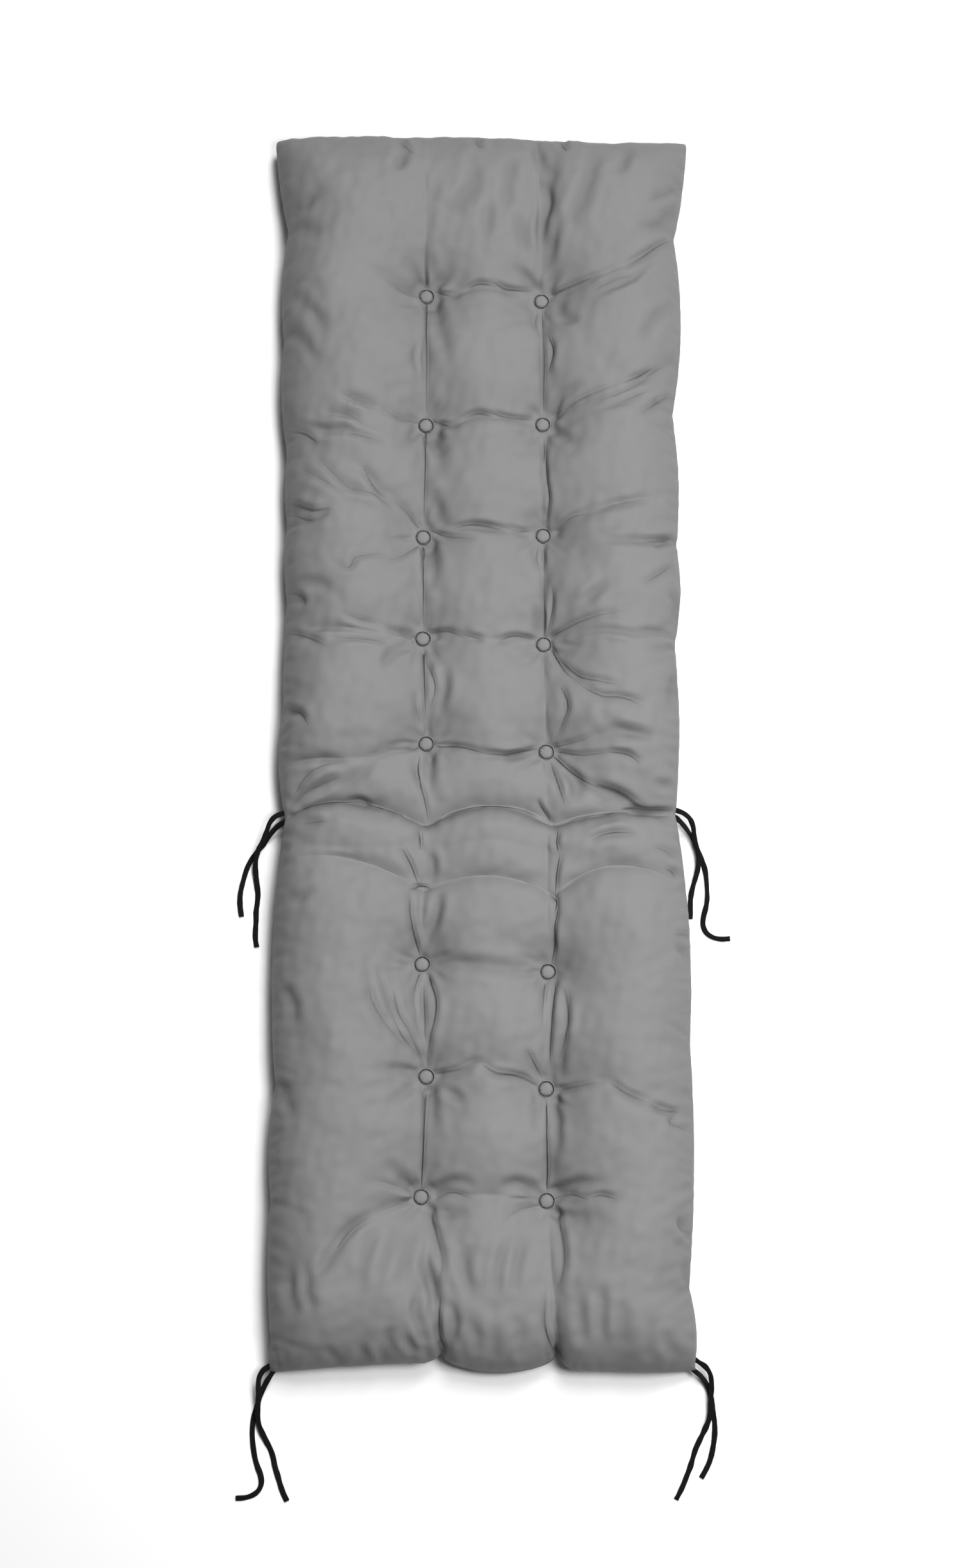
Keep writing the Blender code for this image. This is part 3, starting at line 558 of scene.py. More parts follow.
    (VALLEY, FREE, 4.5, 7, (116, -408), (104, -442), (96, -463)),
    (VALLEY, FREE, 4.5, 9, (-63, -321), (-29, -318), (14, -323), (70, -328)),
    (VALLEY, FREE, 4.5, 8, (-274, -352), (-254, -362), (-249, -404)),
    # Seventh tuft row
    (CREASE, ENDING, 6, 5, (-61, -461), (-32, -456), (-11, -447), (6, -446)),
    (CREASE, FREE, 9, 5, (-1, -450), (18, -460), (48, -465), (73, -478)),
    (CREASE, FREE, 5, 4, (56, -427), (68, -450), (78, -467)),
    (VALLEY, FREE, 4.5, 6, (-59, -475), (-37, -488), (-24, -493)),
    (CREASE, ENDING, 6, 4, (95, -483), (129, -476), (165, -471)),
    (CREASE, FREE, 6, 6, (166, -473), (189, -488), (222, -501)),
    (CREASE, FREE, 6, 5, (217, -500), (238, -508), (260, -512)),
    (CREASE, FREE, 6, 4, (260, -512), (250, -523), (272, -535)),
    (VALLEY, ENDING, 4.5, 6, (-87, -459), (-114, -455), (-151, -455)),
    (VALLEY, ENDING, 4.5, 6, (-84, -469), (-105, -488), (-130, -501)),
    (VALLEY, ENDING, 6, 8, (-69, -479), (-66, -513), (-66, -572)),
    (VALLEY, ENDING, 6, 7, (93, -496), (97, -530), (95, -581)),
    (VALLEY, ENDING, 4.5, 6, (76, -492), (70, -513), (67, -539)),
    (VALLEY, FREE, 4.5, 9, (-274, -479), (-257, -497), (-257, -522)),
    # Eighth tuft row
    (CREASE, ENDING, 9, 5, (-96, -623), (-125, -630), (-149, -643)),
    (CREASE, FREE, 9, 5, (-144, -639), (-171, -657), (-191, -683)),
    (VALLEY, FREE, 4.5, 7, (-187, -679), (-203, -700), (-211, -720)),
    (CREASE, ENDING, 5, 5, (-90, -612), (-117, -603), (-146, -596)),
    (VALLEY, ENDING, 6, 7, (-90, -604), (-109, -589), (-129, -572)),
    (CREASE, ENDING, 6, 4, (-60, -619), (-37, -614), (-13, -621)),
    (VALLEY, ENDING, 7.5, 7, (-62, -610), (-37, -599), (-6, -601)),
    (VALLEY, FREE, 6, 7, (22, -602), (48, -601), (74, -612)),
    (CREASE, ENDING, 9, 4, (72, -628), (48, -633), (26, -648)),
    (VALLEY, ENDING, 7.5, 7, (95, -612), (126, -600), (171, -601)),
    (CREASE, ENDING, 6, 4, (95, -621), (118, -616), (141, -623)),
    (CREASE, FREE, 5, 4, (139, -621), (153, -616), (175, -621)),
    (VALLEY, ENDING, 6, 7, (-62, -633), (-41, -639), (-20, -634)),
    (VALLEY, ENDING, 6, 7, (95, -635), (115, -643), (136, -638)),
    # Foot panel
    (CREASE, ENDING, 6, 7, (-70, -635), (-62, -665), (-53, -700), (-57, -724)),
    (VALLEY, FREE, 6, 7, (-78, -688), (-66, -725), (-59, -757)),
    (VALLEY, FREE, 4.5, 8, (-110, -651), (-120, -683), (-138, -724)),
    (VALLEY, FREE, 4.5, 8, (-133, -651), (-149, -687), (-161, -728)),
    (VALLEY, FREE, 4.5, 8, (-96, -655), (-101, -692), (-111, -728)),
    (CREASE, ENDING, 6, 7, (94, -638), (101, -676), (101, -716), (91, -733)),
    (VALLEY, FREE, 4.5, 7, (41, -665), (24, -696), (14, -740)),
    (VALLEY, FREE, 4.5, 7, (58, -665), (45, -696), (39, -736)),
    (VALLEY, FREE, 4.5, 7, (-20, -675), (-24, -708), (-11, -748)),
    (CREASE, FREE, 10, 4, (80, -735), (79, -773), (84, -797), (97, -824)),
    (CREASE, FREE, 9, 5, (-55, -741), (-57, -778), (-55, -799), (-50, -823)),
    (VALLEY, FREE, 5, 6, (-40, -749), (-36, -777), (-48, -816)),
    (VALLEY, FREE, 5, 6, (-78, -732), (-86, -756), (-78, -782), (-70, -803)),
    (VALLEY, FREE, 5, 6, (-116, -779), (-121, -794), (-115, -816)),
    (VALLEY, FREE, 5, 6, (-99, -790), (-90, -806), (-81, -816)),
    (VALLEY, FREE, 4, 5, (-132, -795), (-128, -815), (-123, -830)),
    (VALLEY, FREE, 3.5, 6, (-163, -797), (-151, -815), (-146, -831)),
    (VALLEY, FREE, 3, 6, (-202, -806), (-191, -819), (-184, -832)),
    (VALLEY, FREE, 3.5, 7, (-17, -769), (-7, -794), (-5, -815)),
    (VALLEY, FREE, 3, 7, (18, -781), (14, -802), (18, -823)),
    (VALLEY, FREE, 3, 7, (47, -769), (49, -794), (45, -819)),
    (VALLEY, FREE, 3.5, 7, (126, -736), (124, -769), (130, -810)),
    (VALLEY, FREE, 3.5, 7, (149, -728), (153, -760), (151, -801)),
    (VALLEY, FREE, 3, 8, (176, -744), (178, -776), (176, -819)),
    (VALLEY, FREE, 3, 8, (213, -756), (217, -789), (210, -823)),
    (VALLEY, FREE, 4, 8, (232, -783), (241, -806), (257, -825)),
    (CREASE, FREE, 5, 5, (276, -671), (260, -657), (254, -642)),
    (VALLEY, FREE, 4.5, 7, (275, -703), (265, -718), (271, -734)),
    (VALLEY, FREE, 3.5, 7, (-224, -708), (-227, -736), (-214, -760)),
    (VALLEY, FREE, 3.5, 8, (-254, -704), (-251, -737), (-238, -769)),
)
WRINKLES = [Wrinkle(*row[:4], row[4:]) for row in WRINKLE_ROWS]


def grey(level: float, tint: float = 0.0) -> tuple[float, float, float, float]:
    """A grey of this level, a little warmer or colder by its tint."""
    return (level * (1 + tint), level, level * (1 - tint), 1.0)


class Signal:
    """A shader socket whose arithmetic adds Math nodes to its graph."""

    def __init__(self, graph: "Graph", socket: bpy.types.NodeSocket) -> None:
        """Wraps one output socket of a graph."""
        self.graph = graph
        self.socket = socket

    def math(self, operation: str, *values: Any) -> "Signal":
        """Adds a Math node.

        Args:
            operation: The node's operation.
            values: Its inputs in order, signals or numbers.

        Returns:
            The node's value.
        """
        inputs = dict(enumerate(values))
        return self.graph.add("ShaderNodeMath", {"operation": operation}, inputs)

    def __add__(self, other: Any) -> "Signal":
        """This signal plus another."""
        return self.math("ADD", self, other)

    __radd__ = __add__

    def __sub__(self, other: Any) -> "Signal":
        """This signal less another."""
        return self.math("SUBTRACT", self, other)

    def __rsub__(self, other: Any) -> "Signal":
        """A number less this signal."""
        return self.math("SUBTRACT", other, self)

    def __mul__(self, other: Any) -> "Signal":
        """This signal times another."""
        return self.math("MULTIPLY", self, other)

    __rmul__ = __mul__

    def wave(self, turns: float) -> "Signal":
        """A sine of this signal with so many turns to a metre."""
        return self.math("SINE", self * (math.tau * turns))

    def bell(self, middle: float) -> "Signal":
        """A bell-shaped curve of this signal, 1 at its middle and 0.37 at 1 from there."""
        away = self - middle
        return self.math("EXPONENT", away * away * -1.0)

    def kept(self) -> "Signal":
        """This signal held between 0 and 1."""
        return self.math("MINIMUM", self.math("MAXIMUM", self, 0.0), 1.0)


class Graph:
    """A material's node tree, with one way to add a node to it."""

    def __init__(self, name: str) -> None:
        """Starts a material with its Principled shader.

        Args:
            name: The material's name.
        """
        self.material = bpy.data.materials.new(name)
        self.material.use_nodes = True
        self.tree = self.material.node_tree
        self.shader = self.tree.nodes["Principled BSDF"]

    def add(
        self, kind: str, settings: dict[str, Any], inputs: dict[Any, Any], output: Any = 0
    ) -> Signal:
        """Adds a node, its settings first.

        Args:
            kind: The node's type.
            settings: Its own settings by name.
            inputs: The values or links of its sockets, by name or place.
            output: The output to read, by name or place.

        Returns:
            The output's signal.
        """
        node = self.tree.nodes.new(kind)
        for name, value in settings.items():
            setattr(node, name, value)
        for name, value in inputs.items():
            self.feed(node.inputs[name], value)
        return Signal(self, node.outputs[output])

    def feed(self, socket: bpy.types.NodeSocket, value: Any) -> None:
        """Links a signal to a socket, or sets its value.

        Args:
            socket: The socket.
            value: The signal or the value.
        """
        if isinstance(value, Signal):
            self.tree.links.new(value.socket, socket)
        else:
            socket.default_value = value

    def shade(self, values: dict[str, Any]) -> bpy.types.Material:
        """Feeds the Principled shader.

        Args:
            values: The values or signals of its sockets, by name.

        Returns:
            The material.
        """
        for name, value in values.items():
            self.feed(self.shader.inputs[name], value)
        return self.material

    def cloth_places(self, name: str) -> tuple[Signal, Signal]:
        """The places along and across a cloth, in metres, from its map of this name.

        Args:
            name: The map's name.

        Returns:
            The places across and along the cloth.
        """
        flat = self.add("ShaderNodeUVMap", {"uv_map": name}, {}, "UV")
        across = self.add("ShaderNodeSeparateXYZ", {}, {0: flat}, "X")
        along = self.add("ShaderNodeSeparateXYZ", {}, {0: flat}, "Y")
        return across, along

    def noise(self, scale: float, detail: float = 2.0, stretch: tuple = (1, 1, 1)) -> Signal:
        """Noise over the object's own space, with so many features to a metre.

        Args:
            scale: The features to a metre.
            detail: How fine it is.
            stretch: Each axis's own scale.

        Returns:
            The noise, from 0 to 1.
        """
        space = self.add("ShaderNodeTexCoord", {}, {}, "Object")
        sized = self.add("ShaderNodeMapping", {}, {"Vector": space, "Scale": stretch}, "Vector")
        inputs = {"Vector": sized, "Scale": scale, "Detail": detail}
        return self.add("ShaderNodeTexNoise", {}, inputs, 0)

    def mix(self, factor: Any, first: Any, second: Any) -> Signal:
        """Mixes two colours."""
        settings = {"data_type": "RGBA", "blend_type": "MIX"}
        return self.add("ShaderNodeMix", settings, {0: factor, 6: first, 7: second}, 2)

    def bump(self, height: Signal, distance: float, strength: float, under: Any = None) -> Signal:
        """A bump of so many metres, over another bump where one is given.

        Args:
            height: Its height, from 0 to 1.
            distance: How far 1 stands out.
            strength: How strong it is.
            under: The bump beneath it.

        Returns:
            The bumped normal.
        """
        inputs = {"Height": height, "Distance": distance, "Strength": strength}
        if under is not None:
            inputs["Normal"] = under
        return self.add("ShaderNodeBump", {}, inputs, "Normal")


@dataclass(frozen=True)
class ClothFinish:
    """Plain woven polyester: fine threads, a faint sheen, paler where it is worn, with painted shade in
    its wrinkles and along its crease bottoms.
    """

    name: str = "grey woven polyester"
    level: float = 0.165
    shadow_level: float = 0.135
    worn_level: float = 0.178
    roughness: float = 0.66
    sheen: float = 0.03
    specular: float = 0.22
    patch_rate: float = 9
    slub_rate: float = 260
    slub_stretch: float = 0.12
    pucker_rate: float = 75
    thread: float = 0.9 * MM
    thread_height: float = 0.05 * MM
    pucker_height: float = 0.7 * MM
    crease_sets: int = 0
    crease_height: float = 1.3 * MM
    # the colour of the painted shade line along crease bottoms and round button seats
    crease_shade_level: float = 0.060

    def creases(self, graph: Graph) -> tuple[Signal, Signal]:
        """The sharp bottoms of the creases and the tight lip on one side of each.

        Args:
            graph: The cloth's graph.

        Returns:
            The strengths of the bottoms and of the lips.
        """
        bottoms, lips = 0.0, 0.0
        for number in range(self.crease_sets):
            name = {"attribute_name": f"crease_{number}"}
            place = graph.add("ShaderNodeAttribute", name, {}, "Vector")
            across, strength = (graph.add("ShaderNodeSeparateXYZ", {}, {0: place}, axis) for axis in "XY")
            bottoms = strength * across.bell(0.0) + bottoms
            lips = strength * across.bell(1.9) + lips
        return bottoms, lips

    def make(self) -> bpy.types.Material:
        """Builds the finish.

        Returns:
            The cloth's material.
        """
        graph = Graph(self.name)
        across, along = graph.cloth_places("cloth")
        turns = 0.5 / self.thread
        weave = across.wave(turns) * along.wave(turns)
        lengthwise = graph.noise(self.slub_rate, 3, (1, self.slub_stretch, 1))
        slubs = lengthwise + graph.noise(self.slub_rate, 3, (self.slub_stretch, 1, 1))
        patches = graph.noise(self.patch_rate, 3)
        dip = graph.add("ShaderNodeAttribute", {"attribute_name": "dip"}, {}, "Fac")
        tone = (patches * 0.7 + slubs * 0.22 - 0.06).kept()
        worn = graph.mix(tone, grey(self.level * 0.93), grey(self.worn_level))
        # Painted shade: the colour goes darker towards shadow_level the deeper a point lies in a wrinkle,
        # and at each button's rim
        colour = graph.mix(dip * 0.8, worn, grey(self.shadow_level))
        rough = slubs * 0.10 + dip * 0.12 + (self.roughness - 0.10)
        puckers = graph.noise(self.pucker_rate, 4) * (0.35 + dip)
        soft = graph.bump(puckers, self.pucker_height, 0.8)
        if self.crease_sets:
            bottoms, lips = self.creases(graph)
            # Painted shade: a dark line along each crease bottom and in the gap round each button's seat
            colour = graph.mix((bottoms * bottoms * 0.8).kept(), colour, grey(self.crease_shade_level))
            soft = graph.bump(lips * 0.9 - bottoms, self.crease_height, 1.0, soft)
        threads = graph.bump(weave + slubs, self.thread_height, 0.6, soft)
        return graph.shade(
            {
                "Base Color": colour,
                "Roughness": rough,
                "Normal": threads,
                "Sheen Weight": self.sheen,
                "Sheen Roughness": 0.35,
                "Sheen Tint": grey(0.9),
                "Specular IOR Level": self.specular,
            }
        )


@dataclass(frozen=True)
class StringFinish:
    """Black flat-braided string, matt, with dusty threads."""

    name: str = "black braided string"
    level: float = 0.0025
    dusty_level: float = 0.008
    roughness: float = 0.72
    sheen: float = 0.01
    specular: float = 0.12
    dust_rate: float = 420
    strands: float = 1 / (1.9 * MM)
    ridge: float = 0.30 * MM

    def make(self) -> bpy.types.Material:
        """Builds the finish.

        Returns:
            The string's material.
        """
        graph = Graph(self.name)
        around, along = graph.cloth_places("cloth")
        leaning = (along + around * 0.9).wave(self.strands)
        crossing = (along - around * 0.9).wave(self.strands)
        braid = leaning * crossing
        dust = graph.noise(self.dust_rate, 3)
        colour = graph.mix((dust * 0.6 + braid * 0.25).kept(), grey(self.level), grey(self.dusty_level))
        return graph.shade(
            {
                "Base Color": colour,
                "Roughness": dust * 0.15 + self.roughness,
                "Normal": graph.bump(braid + dust * 0.4, self.ridge, 0.7),
                "Sheen Weight": self.sheen,
                "Specular IOR Level": self.specular,
            }
        )


@dataclass(frozen=True)
class FloorFinish:
    """A matt white studio floor."""

    name: str = "white studio floor"
    level: float = 0.86

    def make(self) -> bpy.types.Material:
        """Builds the finish.

        Returns:
            The floor's material.
        """
        graph = Graph(self.name)
        grain = graph.noise(30, 2)
        colour = graph.mix(grain, grey(self.level), grey(self.level * 0.985))
        values = {"Base Color": colour, "Roughness": 0.9, "Specular IOR Level": 0.1}
        return graph.shade(values)


def read_line(rows: list[tuple[float, float]]) -> Line:
    """Straight runs through (place, value) rows, flat beyond both ends."""
    places, values = np.array(rows).T
    return lambda at: np.interp(at, places, values)


def edge_line(rows: tuple[EdgeRow, ...], outward: int) -> Line:
    """One edge of the outline, straight from pinch to pinch with a swell between.

    Args:
        rows: The edge's table.
        outward: 1 or -1, the way in which the edge swells.

    Returns:
        The edge's place across the pad for a place along it.
    """
    along, across, swell = np.array(rows).T

    def read(at: Array) -> Array:
        """The edge's place across the pad.

        Args:
            at: Places along it.

        Returns:
            The edge at each of them.
        """
        at = np.clip(at, along[0], along[-1])
        gap = np.clip(np.searchsorted(along, at) - 1, 0, len(along) - 2)
        part = (at - along[gap]) / (along[gap + 1] - along[gap])
        bow = np.maximum(np.sin(np.pi * part), 0) ** 0.8
        return np.interp(at, along, across) + outward * swell[gap] * bow

    return read


def rounding(distance: Array, reach: float) -> Array:
    """A quarter ellipse, upright at the seam and level at its reach."""
    part = 1 - np.clip(distance / reach, 0, 1)
    return np.sqrt(1 - part**2)


def falloff(distance: Array, reach: Any, bottom: float) -> Array:
    """1 on a crease, falling to 0 away from it, with a small round at its bottom."""
    return np.exp(-(np.hypot(distance, bottom) - bottom) / reach)


def smooth_curve(points: Array, steps: int) -> Array:
    """The smooth curve through some points, with so many steps between two.

    Args:
        points: The points in order.
        steps: The steps between two of them.

    Returns:
        The curve's points.
    """
    points = np.asarray(points, dtype=float)
    ends = np.vstack((2 * points[0] - points[1], points, 2 * points[-1] - points[-2]))
    parts = np.arange(steps)[:, None] / steps
    runs = []
    for a, b, c, d in zip(ends, ends[1:], ends[2:], ends[3:]):
        bend = (2 * a - 5 * b + 4 * c - d) * parts**2
        runs.append(0.5 * (2 * b + (c - a) * parts + bend + (3 * b - a - 3 * c + d) * parts**3))
    return np.vstack((*runs, points[-1:]))


def nearest(route: Array, x: Array, y: Array) -> tuple[Array, ...]:
    """Finds the nearest place of a route to each point.

    Args:
        route: The route's points.
        x, y: The points' places across and along the pad.

    Returns:
        The distance, the part of the route passed, and whether the point is on its left.
    """
    first, along = route[:-1], np.diff(route, axis=0)
    offset = np.stack((x, y), -1)[:, None] - first
    part = np.clip((offset * along).sum(-1) / (along**2).sum(-1), 0, 1)
    away = offset - part[..., None] * along
    distance = np.hypot(away[..., 0], away[..., 1])
    pick = distance.argmin(-1)[:, None]
    turn = away[..., 1] * along[:, 0] - away[..., 0] * along[:, 1]
    passed = (np.take_along_axis(part, pick, 1) + pick) / len(along)
    left = np.take_along_axis(turn, pick, 1) > 0
    return np.take_along_axis(distance, pick, 1)[:, 0], passed[:, 0], left[:, 0]


class Outline:
    """The pad's four edges and its two columns of buttons."""

    def __init__(self) -> None:
        """Reads the tables."""
        self.left = edge_line(LEFT_EDGE, -1)
        self.right = edge_line(RIGHT_EDGE, 1)
        self.head = edge_line(HEAD_EDGE, 1)
        self.foot = edge_line(FOOT_EDGE, -1)
        self.columns = [self.column(side) for side in Side]
        self.creases = [self.crease(side) for side in Side]

    def column(self, side: Side) -> Line:
        """The lengthwise crease through a column of buttons."""
        buttons = [row[1 + side.value][::-1] for row in TUFT_ROWS]
        return read_line([COLUMN_FOOT[side.value], *buttons, COLUMN_HEAD[side.value]])

    def crease(self, side: Side) -> Line:
        """How deep that crease is, even between two buttons.

        Args:
            side: The column.

        Returns:
            The depth for a place along the pad.
        """
        rows = [(-0.90, FOOT_CREASE[side.value])]
        for row in TUFT_ROWS:
            y = row[1 + side.value][1]
            rows += [(y - SEAT_STEP, rows[-1][1]), (y + SEAT_STEP, row[3 + side.value])]
        rows += [(HEAD_FADE[0], rows[-1][1]), (HEAD_FADE[1], HEAD_CREASE[side.value])]
        return read_line(rows)

    def distances(self, x: Array, y: Array) -> tuple[Array, Array]:
        """The distances to the nearer long side and to the nearer end.

        Args:
            x, y: Places across and along the pad.

        Returns:
            Both distances.
        """
        side = np.minimum(x - self.left(y), self.right(y) - x)
        end = np.minimum(y - self.foot(x), self.head(x) - y)
        return np.maximum(side, 0), np.maximum(end, 0)

    def column_distance(self, x: Array, y: Array) -> Array:
        """The distance to the nearer lengthwise crease."""
        return np.min([np.abs(x - column(y)) for column in self.columns], axis=0)


@dataclass(frozen=True)
class Filling:
    """The pad's broad form: its crown, its rounded sides, its tufts and its folds."""

    outline: Outline
    side_crown: float = 0.100
    middle_crown: float = 0.094
    tuft_height: float = 0.047
    seam_height: float = 0.034
    corner_drop: float = 0.012
    corner_reach: float = 0.050
    side_round: float = 0.072
    end_round: float = 0.080
    seat_radius: float = 0.0091
    tuft_reach: float = 0.032
    column_reach: float = 0.026
    crease_bottom: float = 0.0015

    def folds(self) -> list[Fold]:
        """Every broad fold that stands alone, the ones that join two buttons first.

        Returns:
            The folds.
        """
        joined = []
        for number, rise, depth in CROSS_FOLDS:
            row = next(row for row in TUFT_ROWS if row.number == number)
            middle = (np.array(row.left) + row.right) / 2 + (0, rise)
            joined.append(Fold(row.left, tuple(middle), row.right, depth, depth, CROSS_REACH))
        return [*joined, *OUTER_FOLDS, *SHALLOW_FOLDS]

    def fold_route(self, fold: Fold) -> Array:
        """Points of the even curve through a fold's start, bend and end.

        Args:
            fold: The fold.

        Returns:
            The points.
        """
        start, bend, end = np.array(fold.start), np.array(fold.bend), np.array(fold.end)
        pull = 2 * bend - (start + end) / 2
        part = np.linspace(0, 1, FOLD_SAMPLES + 1)[:, None]
        return (1 - part) ** 2 * start + 2 * part * (1 - part) * pull + part**2 * end

    def joined_route(self, folds: tuple[Fold, ...]) -> Array:
        """The route along folds that follow each other, with each joint in it once."""
        parts = [self.fold_route(fold) for fold in folds]
        return np.vstack([parts[0], *[part[1:] for part in parts[1:]]])

    def height(self, x: Array, y: Array) -> Array:
        """The height of the pad's upper face.

        Args:
            x, y: Places across and along the pad.

        Returns:
            The height at each place.
        """
        kept = np.ones_like(x)
        for column, crease in zip(self.outline.columns, self.outline.creases):
            away = np.abs(x - column(y))
            kept *= 1 - crease(y) * falloff(away, self.column_reach, self.crease_bottom)
        for across, along in BUTTON_PLACES:
            away = np.hypot(x - across, y - along) - self.seat_radius
            kept *= 1 - np.exp(-np.maximum(away, 0) / self.tuft_reach)
        for folds in (*((fold,) for fold in self.folds()), HIP_FOLDS, ROLL_FOLDS):
            self.dip(kept, folds, x, y)
        full = self.tuft_height + (self.crown(x, y) - self.tuft_height) * kept
        side, end = self.outline.distances(x, y)
        seam = self.seam(x, y)
        return seam + (full - seam) * rounding(side, self.side_round) * rounding(end, self.end_round)

    def dip(self, kept: Array, folds: tuple[Fold, ...], x: Array, y: Array) -> None:
        """Takes away the share of the crown that one fold costs, or several end to end.

        Args:
            kept: The share that is left at each place, changed in place.
            folds: The folds.
            x, y: Places across and along the pad.
        """
        route = self.joined_route(folds)
        reach, lean = folds[0].reach, folds[0].lean
        near = within(route, 7 * reach * lean, x, y)
        distance, part, head_side = nearest(route, x[near], y[near])
        depths = [folds[0].depth, *(fold.end_depth for fold in folds)]
        depth = np.interp(part, np.linspace(0, 1, len(depths)), depths)
        reaches = reach * np.where(head_side, lean, 1 / lean)
        kept[near] *= 1 - depth * falloff(distance, reaches, self.crease_bottom)

    def seam(self, x: Array, y: Array) -> Array:
        """The seam's height, lower at the four corners."""
        corner = np.hypot(*self.outline.distances(x, y))
        return self.seam_height - self.corner_drop * np.exp(-corner / self.corner_reach)

    def crown(self, x: Array, y: Array) -> Array:
        """The filling's height with no button or fold, a little lower in its middle.

        Args:
            x, y: Places across and along the pad.

        Returns:
            The height at each place.
        """
        left, right = (column(y) for column in self.outline.columns)
        inside = np.minimum(x - left, right - x)
        share = np.clip(0.5 + inside / (2 * self.column_reach), 0, 1)
        return self.side_crown + (self.middle_crown - self.side_crown) * share


def within(route: Array, margin: float, x: Array, y: Array) -> Array:
    """Which points lie inside a route's box and a margin round it."""
    low, high = route.min(0) - margin, route.max(0) + margin
    return (x > low[0]) & (x < high[0]) & (y > low[1]) & (y < high[1])


class BandEnd(NamedTuple):
    """One end of a band of cloth: the spacing of its points and how far it rounds over."""

    step: float
    rise: float = 0.0
    reach: float = 1.0


@dataclass(frozen=True)
class Grid:
    """The rows and columns of points that the upper cloth is made of.

    They follow the edges, the columns of buttons, the rows of buttons and both rolls.
    """

    filling: Filling
    edge_step: float = 1.5 * MM
    line_step: float = 1.8 * MM
    wide_step: float = 4.5 * MM
    step_reach: float = 26 * MM

    def spread(self, length: float, first: BandEnd, last: BandEnd) -> Array:
        """Places from 0 to 1 over a band, an even number of steps, even along the cloth.

        Args:
            length: The band's length.
            first: Its first end.
            last: Its last end.

        Returns:
            The places.
        """
        place = length * (1 - np.cos(np.linspace(0, np.pi, 4001))) / 2
        height = first.rise * rounding(place, first.reach)
        height += last.rise * rounding(length - place, last.reach)
        run = np.concatenate(([0], np.cumsum(np.hypot(np.diff(place), np.diff(height)))))
        steps = [
            end.step + (self.wide_step - end.step) * (1 - np.exp(-away / self.step_reach))
            for end, away in ((first, run), (last, run[-1] - run))
        ]
        weight = np.diff(run) / np.minimum(*steps)[1:]
        total = np.concatenate(([0], np.cumsum(weight)))
        count = 2 * max(1, round(total[-1] / 2))
        return np.interp(np.linspace(0, total[-1], count + 1), total, place) / length

    def bands(self, lines: list[Line], ends: list[BandEnd]) -> list[tuple]:
        """The bands between neighbouring lines, with the places of their points.

        Args:
            lines: The lines in order.
            ends: The bands' end at each line.

        Returns:
            For each band its two lines and its points' places.
        """
        made = []
        for number, (line, following) in enumerate(zip(lines, lines[1:])):
            middle = np.zeros(1)
            length = float(following(middle)[0] - line(middle)[0])
            places = self.spread(length, ends[number], ends[number + 1])
            last = number == len(lines) - 2
            made.append((line, following, places if last else places[:-1]))
        return made

    def row_bands(self) -> list[tuple]:
        """The bands across the pad, foot first.

        Returns:
            The bands.
        """
        filling, outline = self.filling, self.filling.outline
        rolls = [read_line(filling.joined_route(folds).tolist()) for folds in (ROLL_FOLDS, HIP_FOLDS)]
        tufts = [read_line([row.left, row.right]) for row in TUFT_ROWS]
        lines = [outline.foot, *tufts[:3], *rolls, *tufts[3:], outline.head]
        edge = BandEnd(self.edge_step, filling.side_crown - filling.seam_height, filling.end_round)
        return self.bands(lines, [edge, *[BandEnd(self.line_step)] * 10, edge])

    def column_bands(self) -> list[tuple]:
        """The bands along the pad, left side first.

        Returns:
            The bands.
        """
        filling, outline = self.filling, self.filling.outline
        edge = BandEnd(self.edge_step, filling.side_crown - filling.seam_height, filling.side_round)
        inner = BandEnd(self.line_step)
        lines = [outline.left, *outline.columns, outline.right]
        return self.bands(lines, [edge, inner, inner, edge])

    def between(self, bands: list[tuple], at: Array) -> Array:
        """Where each station of some bands lies, for places along it.

        Args:
            bands: The bands.
            at: A line of places for each station.

        Returns:
            A line for each station.
        """
        parts, start = [], 0
        for line, following, places in bands:
            rows = at[start : start + len(places)]
            parts.append(line(rows) + (following(rows) - line(rows)) * places[:, None])
            start += len(places)
        return np.vstack(parts)

    def crossings(self) -> tuple[Array, Array]:
        """Where the rows and columns cross.

        Returns:
            The places across and along the pad, one line of the arrays for each row.
        """
        rows, columns = self.row_bands(), self.column_bands()
        shape = [sum(len(band[2]) for band in bands) for bands in (rows, columns)]
        x = np.zeros(shape)
        for _ in range(5):
            y = self.between(rows, x)
            x = self.between(columns, y.T).T
        return x, y


